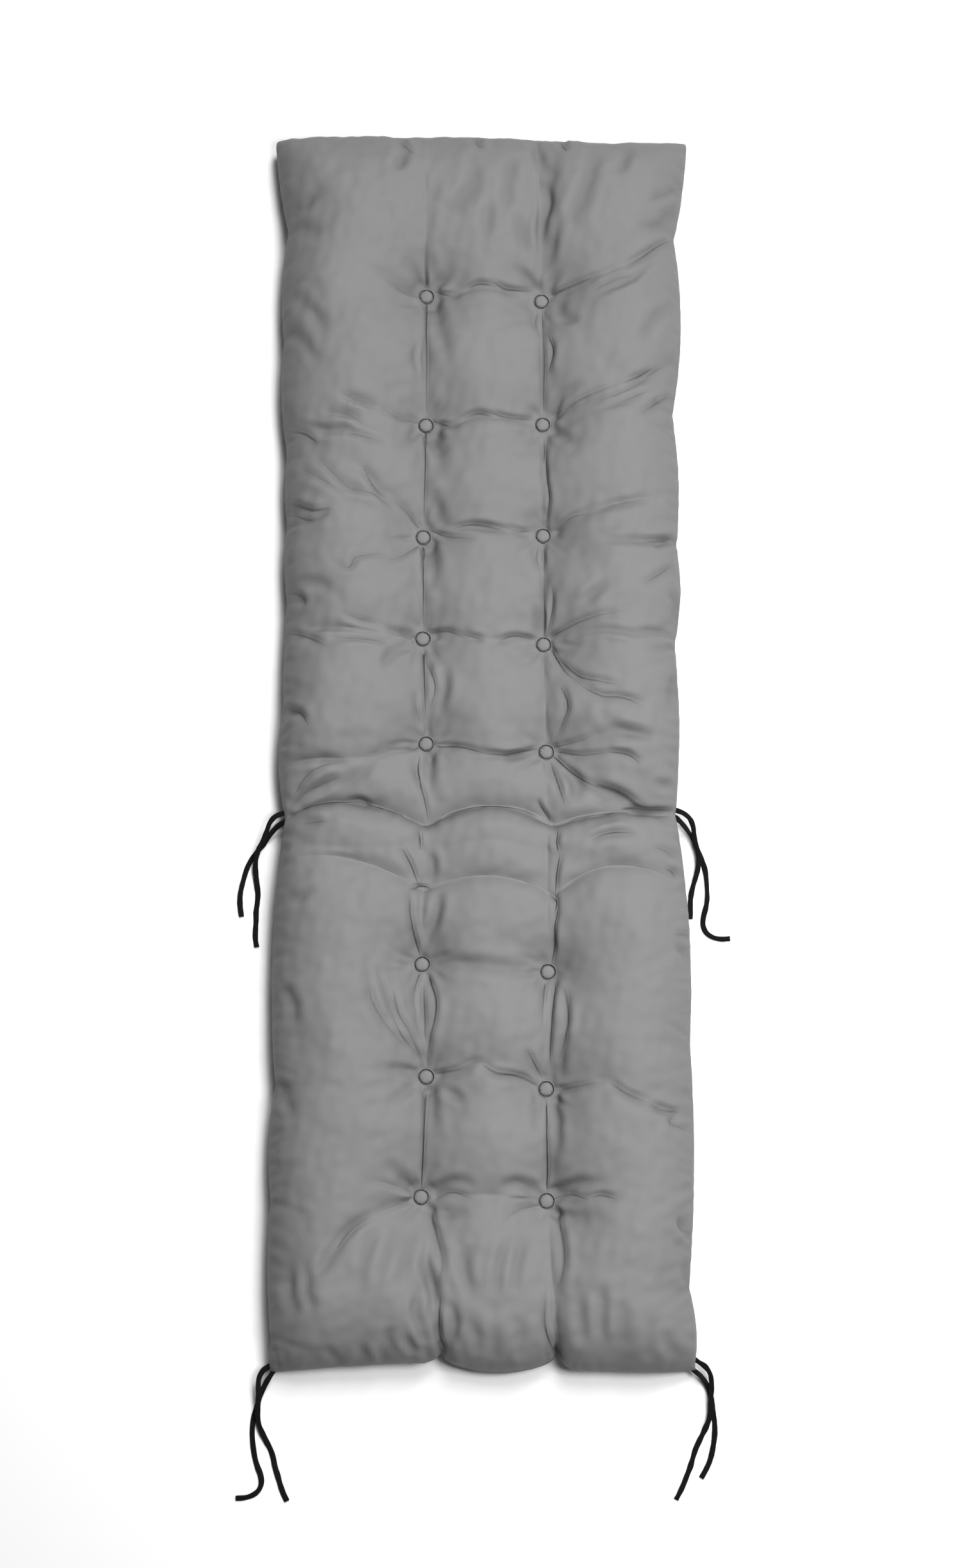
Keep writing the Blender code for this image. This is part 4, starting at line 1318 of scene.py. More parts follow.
@dataclass(frozen=True)
class Settling:
    """How the cloth fills out between what holds it."""

    pressure: float = 4.0
    frames: int = 10
    steps: int = 3
    spare: float = 0.045
    most: float = 9 * MM
    stiffness: float = 10.0
    bending: float = 0.1
    damping: float = 2.0
    levels: int = 10

    def run(self, points: Array, held: Array, tight: Array) -> Array:
        """Settles a grid of points as cloth under pressure.

        Args:
            points: The grid's places.
            held: Which points stay where they are.
            tight: From 0 to 1, how little spare cloth there is.

        Returns:
            How far each point moves.
        """
        trial = self.lay_out(points, held, tight)
        self.add_cloth(trial)
        scene = bpy.context.scene
        for frame_number in range(1, self.frames + 1):
            scene.frame_set(frame_number)
        settled = np.empty(points.size)
        shown = trial.evaluated_get(bpy.context.evaluated_depsgraph_get())
        shown.data.vertices.foreach_get("co", settled)
        scene.frame_set(1)
        mesh = trial.data
        bpy.data.objects.remove(trial, do_unlink=True)
        bpy.data.meshes.remove(mesh)
        moved = settled.reshape(points.shape) - points
        far = np.linalg.norm(moved, axis=-1, keepdims=True)
        REPORT.info("cloth moved up to %.1f mm, %.1f mm as a rule", far.max() / MM, far.mean() / MM)
        return moved * np.tanh(far / self.most) * self.most / np.maximum(far, 1e-9)

    def lay_out(self, points: Array, held: Array, tight: Array) -> bpy.types.Object:
        """Makes the trial cloth, closed underneath by one flat face.

        Args:
            points: The grid's places.
            held: Which points stay where they are.
            tight: From 0 to 1, how little spare cloth there is.

        Returns:
            The trial's object, with its groups of held points and of spare cloth.
        """
        rows, columns = points.shape[:2]
        faces = [*grid_faces(rows, columns), grid_rim(rows, columns)[::-1]]
        mesh = bpy.data.meshes.new("settling cloth")
        mesh.from_pydata(points.reshape(-1, 3).tolist(), [], faces)
        trial = bpy.data.objects.new("settling cloth", mesh)
        bpy.context.scene.collection.objects.link(trial)
        pins = trial.vertex_groups.new(name="held")
        pins.add(np.flatnonzero(held.ravel()).tolist(), 1.0, "REPLACE")
        spare = trial.vertex_groups.new(name="spare")
        for level in range(self.levels):
            chosen = np.flatnonzero((tight.ravel() * (self.levels - 0.001)).astype(int) == level)
            if len(chosen):
                spare.add(chosen.tolist(), 1 - level / self.levels, "REPLACE")
        return trial

    def add_cloth(self, trial: bpy.types.Object) -> None:
        """Gives the trial its cloth, blown up from inside and with no gravity.

        Args:
            trial: The trial's object.
        """
        modifier = trial.modifiers.new("cloth", "CLOTH")
        cloth = modifier.settings
        cloth.use_pressure = True
        cloth.uniform_pressure_force = self.pressure
        cloth.vertex_group_mass = "held"
        cloth.vertex_group_shrink = "spare"
        cloth.shrink_min = 0.0
        cloth.shrink_max = -self.spare
        cloth.effector_weights.gravity = 0
        cloth.quality = self.steps
        cloth.bending_model = "LINEAR"
        cloth.tension_stiffness = self.stiffness
        cloth.compression_stiffness = self.stiffness
        cloth.shear_stiffness = self.stiffness / 3
        cloth.bending_stiffness = self.bending
        cloth.air_damping = self.damping
        modifier.collision_settings.use_collision = False
        modifier.point_cache.frame_start = 1
        modifier.point_cache.frame_end = self.frames


def grid_faces(rows: int, columns: int) -> list[list[int]]:
    """The four-sided faces of a grid of points.

    Args:
        rows, columns: How many points it has each way.

    Returns:
        Each face's points.
    """
    corner = np.arange(rows * columns).reshape(rows, columns)
    sides = (corner[:-1, :-1], corner[:-1, 1:], corner[1:, 1:], corner[1:, :-1])
    return np.stack(sides, -1).reshape(-1, 4).tolist()


def grid_rim(rows: int, columns: int) -> list[int]:
    """The points round a grid, from its first corner along its first row.

    Args:
        rows, columns: How many points it has each way.

    Returns:
        The points' numbers.
    """
    corner = np.arange(rows * columns).reshape(rows, columns)
    parts = (corner[0, :-1], corner[:-1, -1], corner[-1, :0:-1], corner[:0:-1, 0])
    return np.concatenate(parts).tolist()


def refine(coarse: Array) -> Array:
    """Puts a smooth new value between each two of a grid, along both of its ways.

    Args:
        coarse: The grid's values.

    Returns:
        The finer grid's values.
    """
    for axis in (0, 1):
        rows = np.moveaxis(coarse, axis, 0)
        ends = np.concatenate((rows[:1], rows, rows[-1:]))
        middles = (9 * (ends[1:-2] + ends[2:-1]) - ends[:-3] - ends[3:]) / 16
        finer = np.empty((2 * len(rows) - 1, *rows.shape[1:]))
        finer[::2], finer[1::2] = rows, middles
        coarse = np.moveaxis(finer, 0, axis)
    return coarse


def grid_normals(points: Array) -> Array:
    """The way that each point of a grid faces.

    Args:
        points: The grid's points.

    Returns:
        A unit vector for each of them.
    """
    across = np.gradient(points, axis=1)
    along = np.gradient(points, axis=0)
    facing = np.cross(across, along)
    return facing / np.maximum(np.linalg.norm(facing, axis=-1, keepdims=True), 1e-12)


def soften(values: Array, share: float) -> Array:
    """Moves each inner value of a grid part of the way to its neighbours' mean.

    Args:
        values: The grid's values.
        share: The part of the way.

    Returns:
        The softer values.
    """
    softer = values.copy()
    around = values[:-2, 1:-1] + values[2:, 1:-1] + values[1:-1, :-2] + values[1:-1, 2:]
    softer[1:-1, 1:-1] += share * (around / 4 - values[1:-1, 1:-1])
    return softer


class Unevenness:
    """Gentle lumps, a sum of waves that run every way, the same each time."""

    def __init__(self, seed: int, shortest: float, longest: float, count: int = 30) -> None:
        """Draws the waves.

        Args:
            seed: What they are drawn from.
            shortest, longest: Their lengths, in metres.
            count: How many there are.
        """
        draw = random.Random(seed)
        self.waves = []
        for _ in range(count):
            length = draw.uniform(shortest, longest)
            turn = draw.uniform(0, math.tau)
            self.waves.append((math.tau / length, turn, draw.uniform(0, math.tau)))

    def read(self, x: Array, y: Array) -> Array:
        """The lumps at some places, from about -1 to 1.

        Args:
            x, y: The places.

        Returns:
            Their height there.
        """
        total = np.zeros_like(x)
        for rate, turn, start in self.waves:
            total += np.sin(rate * (x * math.cos(turn) + y * math.sin(turn)) + start)
        return total / math.sqrt(len(self.waves))


@dataclass(frozen=True)
class CreaseLines:
    """The sharp bottom of each crease, which is finer than the mesh.

    Each point holds its place across the nearest crease, in that line's own half widths, and the
    crease's strength there. Creases that come near each other are in different sets.
    """

    sets: int = 4
    reach: float = 9 * MM
    share: float = 0.30
    full_depth: float = 8.0
    depth_power: float = 1.3
    folded: float = 0.65

    def sort(self, creases: list[Wrinkle]) -> list[list[Wrinkle]]:
        """Puts the creases into the sets, the deepest first.

        Args:
            creases: The creases.

        Returns:
            The sets.
        """
        made: list[list[Wrinkle]] = [[] for _ in range(self.sets)]
        taken: list[list[Array]] = [[] for _ in range(self.sets)]
        for crease in sorted(creases, key=lambda one: -one.depth):
            route = crease.route()
            for chosen, routes in zip(made, taken):
                gaps = [np.linalg.norm(route[:, None] - other, axis=-1).min() for other in routes]
                if min(gaps, default=1.0) > 2 * self.reach:
                    chosen.append(crease)
                    routes.append(route)
                    break
            else:
                REPORT.debug("a crease of %.1f mm keeps to the mesh", crease.depth)
        return made

    def read(
        self, chosen: list[Wrinkle], fading: Callable[[Fade, Array], Array], x: Array, y: Array
    ) -> Array:
        """Measures one set at every point.

        Args:
            chosen: The set's creases.
            fading: A crease's share of its depth along it.
            x, y: The points' places across and along the pad.

        Returns:
            For each point, the place across its crease, the strength and 0.
        """
        marks = np.zeros((*x.shape, 3))
        gaps = np.full(x.shape, 2 * self.reach)
        for crease in chosen:
            route = crease.route()
            near = within(route, 2 * self.reach, x, y)
            distance, part, left = nearest(route, x[near], y[near])
            inside = (distance < self.reach) & (part > 0) & (part < 1)
            sharpness = 1.0 if crease.form is SLOT else self.folded
            sharpness *= min(crease.depth / self.full_depth, 1.0) ** self.depth_power
            strength = sharpness * fading(crease.fade, part) * inside
            across = np.where(left, distance, -distance) / (crease.width * MM * self.share)
            closer = distance < gaps[near]
            found = np.stack((across, strength, np.zeros_like(part)), -1)
            marks[near] = np.where(closer[:, None], found, marks[near])
            gaps[near] = np.where(closer, distance, gaps[near])
        return marks


@dataclass
class Pad:
    """The filled and tufted pad, one closed mesh with its folds, wrinkles and seam."""

    finish: ClothFinish
    filling: Filling = field(default_factory=lambda: Filling(Outline()))
    settling: Settling = field(default_factory=Settling)
    lines: CreaseLines = field(default_factory=CreaseLines)
    ear: tuple[float, float] = (4.0 * MM, 8.5 * MM)
    ear_reach: float = 30 * MM
    corner_lift: float = 8 * MM
    corner_pull: float = 3.2 * MM
    corner_round: float = 5 * MM
    notches: tuple[float, float] = (-0.055, 0.097)
    notch_depth: float = 5 * MM
    notch_drop: float = 6 * MM
    notch_width: float = 4.5 * MM
    notch_reach: float = 14 * MM
    foot_strip: float = 3.5 * MM
    strip_run: float = 12 * MM
    foot_end: float = -0.80
    side_pucker: float = 0.2 * MM
    side_swell: float = 0.4 * MM
    under_inset: float = 30 * MM
    under_rings: int = 7
    under_ease: float = 1.15
    lump_height: float = 1.1 * MM
    ripple_height: float = 0.65 * MM
    seam_groove: float = 1.6 * MM
    gather_height: float = 0.35 * MM
    gather_reach: float = 16 * MM
    gather_start: float = 1.5 * MM
    edge_fade: float = 6 * MM
    fold_gaps: tuple[float, float] = (0.012, 0.030)
    pinch_reach: float = 0.010
    shade_depth: float = 5 * MM
    steepest: float = 1.6
    gentlest: float = 0.95
    fine: float = 3.2 * MM
    coarse: float = 6.8 * MM
    fine_reach: float = 26 * MM
    tight_reach: float = 20 * MM
    sewn_reach: float = 1 * MM
    folded_reach: float = 2 * MM
    softening: float = 0.22
    softening_reach: float = 4 * MM
    seat_folds: int = 13
    seat_wall: float = 1.1 * MM
    seat_rim: float = 0.3 * MM
    seat_lip: float = 3.6 * MM
    seat_lip_reach: float = 7 * MM
    seat_calm: float = 8 * MM
    seat_line: float = 0.75 * MM
    seat_line_reach: float = 5 * MM
    seat_line_strength: float = 0.85
    fill: float = 0.62

    def build(self) -> bpy.types.Object:
        """Builds the pad.

        Returns:
            The pad's object.
        """
        x, y = self.ring_seats(*Grid(self.filling).crossings())
        side, end = self.filling.outline.distances(x, y)
        seats = self.seat_distance(x, y)
        top = self.form(x, y, seats)
        top += self.settle(top, x, y, seats)
        dips = self.wrinkles(x, y)
        relief = self.relief(x, y, dips, seats) * self.fades(np.minimum(side, end))
        top += grid_normals(top) * relief[..., None]
        top += grid_normals(top) * self.gathers(x, y, side, end)[..., None]
        top = self.smooth(top, x, y)
        return self.close(top, np.clip(-dips / self.shade_depth, 0, 1), self.marks(x, y, seats))

    def form(self, x: Array, y: Array, seats: Array) -> Array:
        """The filled form of the upper cloth, with its ears, its notches and its seats.

        Args:
            x, y: The points' places across and along the pad.
            seats: Their distances from the nearest seat.

        Returns:
            The points.
        """
        side, end = self.filling.outline.distances(x, y)
        rim = np.hypot(side, end)
        pull = self.corner_pull * np.exp(-rim / self.corner_round)
        ear = np.exp(-rim / self.ear_reach) * (y > 0)
        height = self.filling.height(x, y)
        lip = (seats > self.seat_rim) * np.exp(-np.maximum(seats, 0) / self.seat_lip_reach)
        height += self.seat_lip * lip
        across = x + np.copysign(self.ear[0] * ear - pull, x)
        along = y + self.ear[1] * ear - np.copysign(pull, y)
        for notch in self.notches:
            near = ((x - notch) / self.notch_width) ** 2
            share = np.exp(-near - end / self.notch_reach) * (y < 0)
            along += self.notch_depth * share
            height -= self.notch_drop * share
        return np.stack((across, along, height + self.corner_lift * ear), -1)

    def relief(self, x: Array, y: Array, dips: Array, seats: Array) -> Array:
        """The wrinkles with the filling's lumps and the cloth's ripples, calm at the seats.

        Args:
            x, y: The points' places across and along the pad.
            dips: How far each point rises or dips for the wrinkles.
            seats: The points' distances from the nearest seat.

        Returns:
            How far each point rises or dips in all.
        """
        free = np.clip(seats / self.seat_calm, 0, 1)
        lumps = Unevenness(seed=4, shortest=0.05, longest=0.16)
        ripples = Unevenness(seed=5, shortest=0.018, longest=0.045, count=40)
        uneven = lumps.read(x, y) * self.lump_height * free
        uneven += ripples.read(x, y) * self.ripple_height * free
        return dips * free + uneven

    def marks(self, x: Array, y: Array, seats: Array) -> list[Array]:
        """Measures the crease lines and the ring round every seat.

        Args:
            x, y: The points' places across and along the pad.
            seats: Their distances from the nearest seat.

        Returns:
            For each set, the place across its line, the strength and 0 at every point.
        """
        rows = (*WRINKLES, *self.slots(), *self.rolls())
        sharp = [row for row in rows if row.form is not VALLEY]
        sets = [self.lines.read(chosen, self.fading, x, y) for chosen in self.lines.sort(sharp)]
        # The ring round each seat is drawn as a bump and as a painted shade line in the gap between
        # button and cloth
        ring = self.seat_line_strength * (np.abs(seats) < self.seat_line_reach)
        return [*sets, np.stack((seats / self.seat_line, ring, np.zeros_like(x)), -1)]

    def ring_seats(self, x: Array, y: Array) -> tuple[Array, Array]:
        """Moves the points nearest a seat's rim onto two clean circles, in it and round it.

        Args:
            x, y: The points' places across and along the pad.

        Returns:
            Their new places.
        """
        inner, outer = self.filling.seat_radius, self.filling.seat_radius + self.seat_wall
        middle, reach = (inner + outer) / 2, self.seat_wall * 1.1
        for place in BUTTON_PLACES:
            across, along = x - place[0], y - place[1]
            away = np.hypot(across, along)
            target = np.where(away < middle, inner, outer)
            share = np.where(np.abs(away - middle) < reach, target / np.maximum(away, MM), 1)
            x, y = place[0] + across * share, place[1] + along * share
        return x, y

    def fades(self, edge: Array) -> Array:
        """The share of each wrinkle that is left near the seam."""
        return 0.15 + 0.85 * np.clip(edge / self.edge_fade, 0, 1)

    def seat_distance(self, x: Array, y: Array) -> Array:
        """The distance from the nearest button's seat, less than 0 in it."""
        away = [np.hypot(x - place[0], y - place[1]) for place in BUTTON_PLACES]
        return np.min(away, axis=0) - self.filling.seat_radius

    def settle(self, top: Array, x: Array, y: Array, seats: Array) -> Array:
        """Lets the cloth settle on every second point, and spreads that to all of them.

        Args:
            top: The upper cloth's points.
            x, y: Their places across and along the pad.
            seats: Their distances from the nearest seat.

        Returns:
            How far each point moves.
        """
        outline = self.filling.outline
        side, end = outline.distances(x, y)
        columns = outline.column_distance(x, y)
        routes = [self.filling.joined_route(folds) for folds in (HIP_FOLDS, ROLL_FOLDS)]
        crease = np.min([nearest_of(route, x, y) for route in routes], axis=0)
        held = (np.minimum(side, end) < 1e-6) | (seats < self.sewn_reach)
        held |= (crease < self.folded_reach) | (columns < self.sewn_reach)
        tight = np.exp(-columns / self.tight_reach)
        every = np.s_[::2, ::2]
        moved = self.settling.run(top[every], held[every], tight[every])
        return refine(moved)

    def wrinkles(self, x: Array, y: Array) -> Array:
        """How far each point rises or dips for the cloth's wrinkles.

        Args:
            x, y: The points' places across and along the pad.

        Returns:
            The rise of each point.
        """
        total = np.zeros_like(x)
        columns = self.filling.outline.column_distance(x, y)
        narrowest = self.coarse - (self.coarse - self.fine) * np.exp(-columns / self.fine_reach)
        for wrinkle in (*WRINKLES, *self.slots(), *self.seat_wrinkles(), *self.seam_wrinkles()):
            route = wrinkle.route()
            near = within(route, 4 * max(wrinkle.width * MM, self.coarse), x, y)
            distance, part, left = nearest(route, x[near], y[near])
            width = wrinkle.width * MM
            steepest = self.steepest
            if wrinkle.form is CREASE:
                width = np.maximum(width, narrowest[near])
                steepest = self.gentlest
            shape = self.section(wrinkle.form, np.where(left, distance, -distance) / width)
            depth = np.minimum(wrinkle.depth * MM, steepest * width)
            total[near] += depth * shape * self.fading(wrinkle.fade, part)
        return total

    def slots(self) -> list[Wrinkle]:
        """The slots along the lengthwise creases, on the very lines of their bottoms.

        Returns:
            A wrinkle for each slot.
        """
        made = []
        for slot in SLOTS:
            column = self.filling.outline.columns[slot.side.value]
            along = np.linspace(slot.start, slot.end, 4)
            spots = tuple(zip(column(along * MM) / MM, along))
            made.append(Wrinkle(SLOT, slot.fade, slot.depth, slot.width, spots))
        return made

    def rolls(self) -> list[Wrinkle]:
        """The bottoms of the hip crease and of the roll behind it.

        Returns:
            A wrinkle for each.
        """
        routes = [self.filling.joined_route(folds)[::2] / MM for folds in (HIP_FOLDS, ROLL_FOLDS)]
        return [
            Wrinkle(SLOT, EVEN, depth, width, tuple(map(tuple, route)))
            for route, (depth, width) in zip(routes, ROLL_LINES)
        ]

    def seat_wrinkles(self) -> list[Wrinkle]:
        """Short wrinkles that run out of every button's seat, drawn the same each time.

        Returns:
            The wrinkles.
        """
        draw = random.Random(31)
        made = []
        for place in BUTTON_PLACES:
            middle = np.array(place) / MM
            turn = draw.uniform(0, math.tau)
            for _ in range(self.seat_folds):
                turn += math.tau / self.seat_folds * draw.uniform(0.6, 1.4)
                bend, length = draw.uniform(-0.4, 0.4), draw.uniform(12, 46)
                spots = []
                for part in (0.0, 0.5, 1.0):
                    way = np.array((math.cos(turn + bend * part), math.sin(turn + bend * part)))
                    spots.append(tuple(middle + way * (self.filling.seat_radius / MM + length * part)))
                depth, width = draw.uniform(1.4, 3.4), draw.uniform(2.6, 4.6)
                made.append(Wrinkle(VALLEY, ENDING, depth, width, tuple(spots)))
        return made

    def seam_wrinkles(self) -> list[Wrinkle]:
        """Short folds that run in from the seam, deeper at the outline's pinches.

        Returns:
            The folds.
        """
        draw = random.Random(47)
        outline = self.filling.outline
        made = []
        for rows, line, outward, upright, share in (
            (LEFT_EDGE, outline.left, -1, True, 0.9),
            (RIGHT_EDGE, outline.right, 1, True, 0.9),
            (FOOT_EDGE, outline.foot, -1, False, 1.0),
            (HEAD_EDGE, outline.head, 1, False, 0.3),
        ):
            along, last = rows[0].along + self.fold_gaps[0], rows[-1].along - self.fold_gaps[0]
            while along < last:
                pinch = min(abs(along - row.along) for row in rows) < self.pinch_reach
                slant = draw.uniform(-0.6, 0.6)
                length = draw.uniform(0.014, 0.046) * (1.4 if pinch else 1)
                start = float(line(np.array([along]))[0])
                spots = []
                for part in (0.0, 0.5, 1.0):
                    across = start - outward * length * part
                    place = along + slant * length * part
                    spots.append((across / MM, place / MM) if upright else (place / MM, across / MM))
                depth = share * draw.uniform(0.8, 2.2) * (1.8 if pinch else 1)
                width = draw.uniform(3.2, 6.0)
                made.append(Wrinkle(VALLEY, ENDING, depth, width, tuple(spots)))
                along += draw.uniform(*self.fold_gaps)
        return made

    def section(self, form: Form, away: Array) -> Array:
        """A wrinkle's height across it, about -1 at its bottom and less than 1 at its lips.

        Args:
            form: The wrinkle's form.
            away: Places across it, in its own half widths, less than 0 at its right.

        Returns:
            The height at each place.
        """
        far = np.abs(away)
        if form is SLOT:
            return -np.exp(-((1.25 * far) ** 1.2))
        if form is CREASE:
            lip = 0.62 * np.exp(-((np.abs(away - 1.5) / 0.75) ** 1.5))
            return lip + 0.12 * np.exp(-(((far - 2.2) / 1.0) ** 2)) - np.exp(-((1.3 * far) ** 1.3))
        return 0.30 * np.exp(-(((far - 2.0) / 0.8) ** 2)) - np.exp(-(far**2))

    def fading(self, fade: Fade, part: Array) -> Array:
        """A wrinkle's share of its depth along it.

        Args:
            fade: How it changes.
            part: The parts of its route passed.

        Returns:
            The share at each.
        """
        if fade is EVEN:
            return np.minimum(1, 12 * np.minimum(part, 1 - part))
        if fade is ENDING:
            return (1 - part) ** 0.7
        return np.maximum(np.sin(np.pi * part), 0) ** 0.7

    def gathers(self, x: Array, y: Array, side: Array, end: Array) -> Array:
        """Small puckers that run out of the seam, lower at the very seam.

        Args:
            x, y: The points' places across and along the pad.
            side, end: Their distances to the nearer side and the nearer end.

        Returns:
            The rise of each point.
        """
        edge = np.minimum(side, end)
        along = np.where(side < end, y, x)
        lean = np.where(side < end, np.sign(x), 3 * np.sign(y))
        waves = Unevenness(seed=11, shortest=0.010, longest=0.030, count=18)
        change = Unevenness(seed=12, shortest=0.08, longest=0.3, count=8)
        strength = 0.6 + 0.5 * change.read(along, lean)
        puckers = waves.read(along + 0.3 * edge, lean * 0.1) * strength * self.gather_height
        puckers *= np.exp(-edge / self.gather_reach)
        return puckers * np.clip(edge / self.gather_start, 0.3, 1)

    def smooth(self, top: Array, x: Array, y: Array) -> Array:
        """Takes the sharpest steps out of the cloth, but not out of the creases.

        Args:
            top: The upper cloth's points.
            x, y: Their places across and along the pad.

        Returns:
            The points.
        """
        columns = self.filling.outline.column_distance(x, y)
        share = np.clip(columns / self.softening_reach, 0, 1)[..., None]
        return top + (soften(top, self.softening) - top) * share

    def close(self, top: Array, dip: Array, marks: list[Array]) -> bpy.types.Object:
        """Adds the sides and the back, and makes the mesh.

        Args:
            top: The upper cloth's points.
            dip: From 0 to 1, how deep in a wrinkle each point is.
            marks: Each set of crease lines, measured at each point.

        Returns:
            The pad's object.
        """
        rows, columns = top.shape[:2]
        rim = grid_rim(rows, columns)
        upper = top.reshape(-1, 3).copy()
        places = [self.flat_places(top).reshape(-1, 2)]
        seam, seam_places = upper[rim], places[0][rim]
        outward = (seam - np.roll(seam, 1, 0))[:, 1::-1] * (1, -1)
        outward /= np.maximum(np.linalg.norm(outward, axis=1, keepdims=True), 1e-9)
        rings = self.under(seam, outward)
        upper[rim, :2] -= outward * self.seam_groove
        for ring in rings:
            places.append(seam_places + outward * np.linalg.norm(ring - seam, axis=1)[:, None])
        points = np.vstack((upper, *rings))
        faces = grid_faces(rows, columns) + ring_faces(rim, rows * columns, len(rings))
        pad = build_object("pad", points, faces, np.vstack(places), self.finish.make())
        below = len(points) - dip.size
        write_attribute(pad, "dip", np.append(dip.ravel(), np.zeros(below)))
        for number, mark in enumerate(marks):
            values = np.vstack((mark.reshape(-1, 3), np.zeros((below, 3))))
            write_attribute(pad, f"crease_{number}", values)
        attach(pad, "root")
        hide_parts("cushion")
        return pad

    def under(self, seam: Array, outward: Array) -> list[Array]:
        """The rings of points from the seam round to the flat back.

        Args:
            seam: The seam's points.
            outward: The level way out of the pad at each of them.

        Returns:
            The points of each ring, the one next to the seam first.
        """
        half = np.abs(seam[:, :2]).max(0)
        run = np.cumsum(np.linalg.norm(seam - np.roll(seam, 1, 0), axis=1))
        level = np.zeros_like(run)
        puckers = Unevenness(seed=21, shortest=0.012, longest=0.035, count=16).read(run, level)
        broad = Unevenness(seed=22, shortest=0.06, longest=0.20, count=12).read(run, level)
        inner = np.minimum(seam[:, 0] - self.notches[0], self.notches[1] - seam[:, 0])
        at_foot = seam[:, 1] < self.foot_end
        strip = self.foot_strip * np.clip(inner / self.strip_run, 0, 1) * at_foot
        rings = []
        for step in range(1, self.under_rings + 1):
            turn = math.pi / 2 * (step / self.under_rings) ** self.under_ease
            inset = self.under_inset * (1 - math.cos(turn))
            lowering = 0 if step == self.under_rings else 1 - math.sin(turn)
            bulge = math.sin(2 * turn)
            swell = bulge * (self.side_pucker * puckers + self.side_swell * broad)
            ring = np.empty_like(seam)
            ring[:, :2] = seam[:, :2] * (1 - inset / half)
            ring[:, :2] += outward * (swell + strip * min(1.0, 2.5 * bulge))[:, None]
            ring[:, 2] = seam[:, 2] * lowering
            rings.append(ring)
        return rings

    def flat_places(self, top: Array) -> Array:
        """The upper cloth's places in its flat panel, in metres from its middle.

        Args:
            top: The upper cloth's points.

        Returns:
            Their places across and along the panel.
        """
        rows, columns = top.shape[:2]
        across = np.zeros((rows, columns))
        along = np.zeros((rows, columns))
        across[:, 1:] = np.cumsum(np.linalg.norm(np.diff(top, axis=1), axis=-1), axis=1)
        along[1:] = np.cumsum(np.linalg.norm(np.diff(top, axis=0), axis=-1), axis=0)
        across -= across[:, columns // 2, None]
        along -= along[rows // 2]
        return np.stack((across, along), -1)


def nearest_of(route: Array, x: Array, y: Array) -> Array:
    """The distance of each point of a grid from a route, far away where it isn't near.

    Args:
        route: The route's points.
        x, y: The grid's places.

    Returns:
        The distances.
    """
    away = np.full(x.shape, 1.0)
    near = within(route, 30 * MM, x, y)
    away[near] = nearest(route, x[near], y[near])[0]
    return away


def ring_faces(rim: list[int], start: int, count: int) -> list[list[int]]:
    """The faces from a rim down through some rings of points, and the one that closes them.

    Args:
        rim: The rim's points.
        start: The first ring's first point.
        count: How many rings there are.

    Returns:
        Each face's points.
    """
    faces = []
    previous = rim
    for _ in range(count):
        current = list(range(start, start + len(rim)))
        following, above = current[1:] + current[:1], previous[1:] + previous[:1]
        faces += [list(face) for face in zip(current, following, above, previous)]
        start += len(rim)
        previous = current
    return [*faces, previous[::-1]]


def even_turns(sides: int) -> Array:
    """The angles of so many even steps round a circle."""
    return np.arange(sides) * math.tau / sides


def write_attribute(made: bpy.types.Object, name: str, values: Array) -> None:
    """Writes a number or a vector for each point of an object, for its finish to read.

    Args:
        made: The object.
        name: The attribute's name.
        values: Its numbers, or one line of three for each point.
    """
    kind, part = ("FLOAT", "value") if values.ndim == 1 else ("FLOAT_VECTOR", "vector")
    attribute = made.data.attributes.new(name, kind, "POINT")
    attribute.data.foreach_set(part, values.ravel())


def build_object(
    name: str,
    points: Array,
    faces: list[list[int]],
    places: Array,
    finish: bpy.types.Material,
) -> bpy.types.Object:
    """Makes a smooth object with a map of its cloth.

    Args:
        name: The object's name.
        points: Its points.
        faces: Its faces.
        places: Each point's place in its flat cloth, in metres.
        finish: Its material.

    Returns:
        The object.
    """
    mesh = bpy.data.meshes.new(name)
    mesh.from_pydata(points.tolist(), [], faces)
    mesh.shade_smooth()
    corners = np.empty(len(mesh.loops), dtype=int)
    mesh.loops.foreach_get("vertex_index", corners)
    cloth_map = mesh.uv_layers.new(name="cloth")
    cloth_map.data.foreach_set("uv", places[corners].ravel())
    mesh.materials.append(finish)
    made = bpy.data.objects.new(name, mesh)
    bpy.context.scene.collection.objects.link(made)
    return made


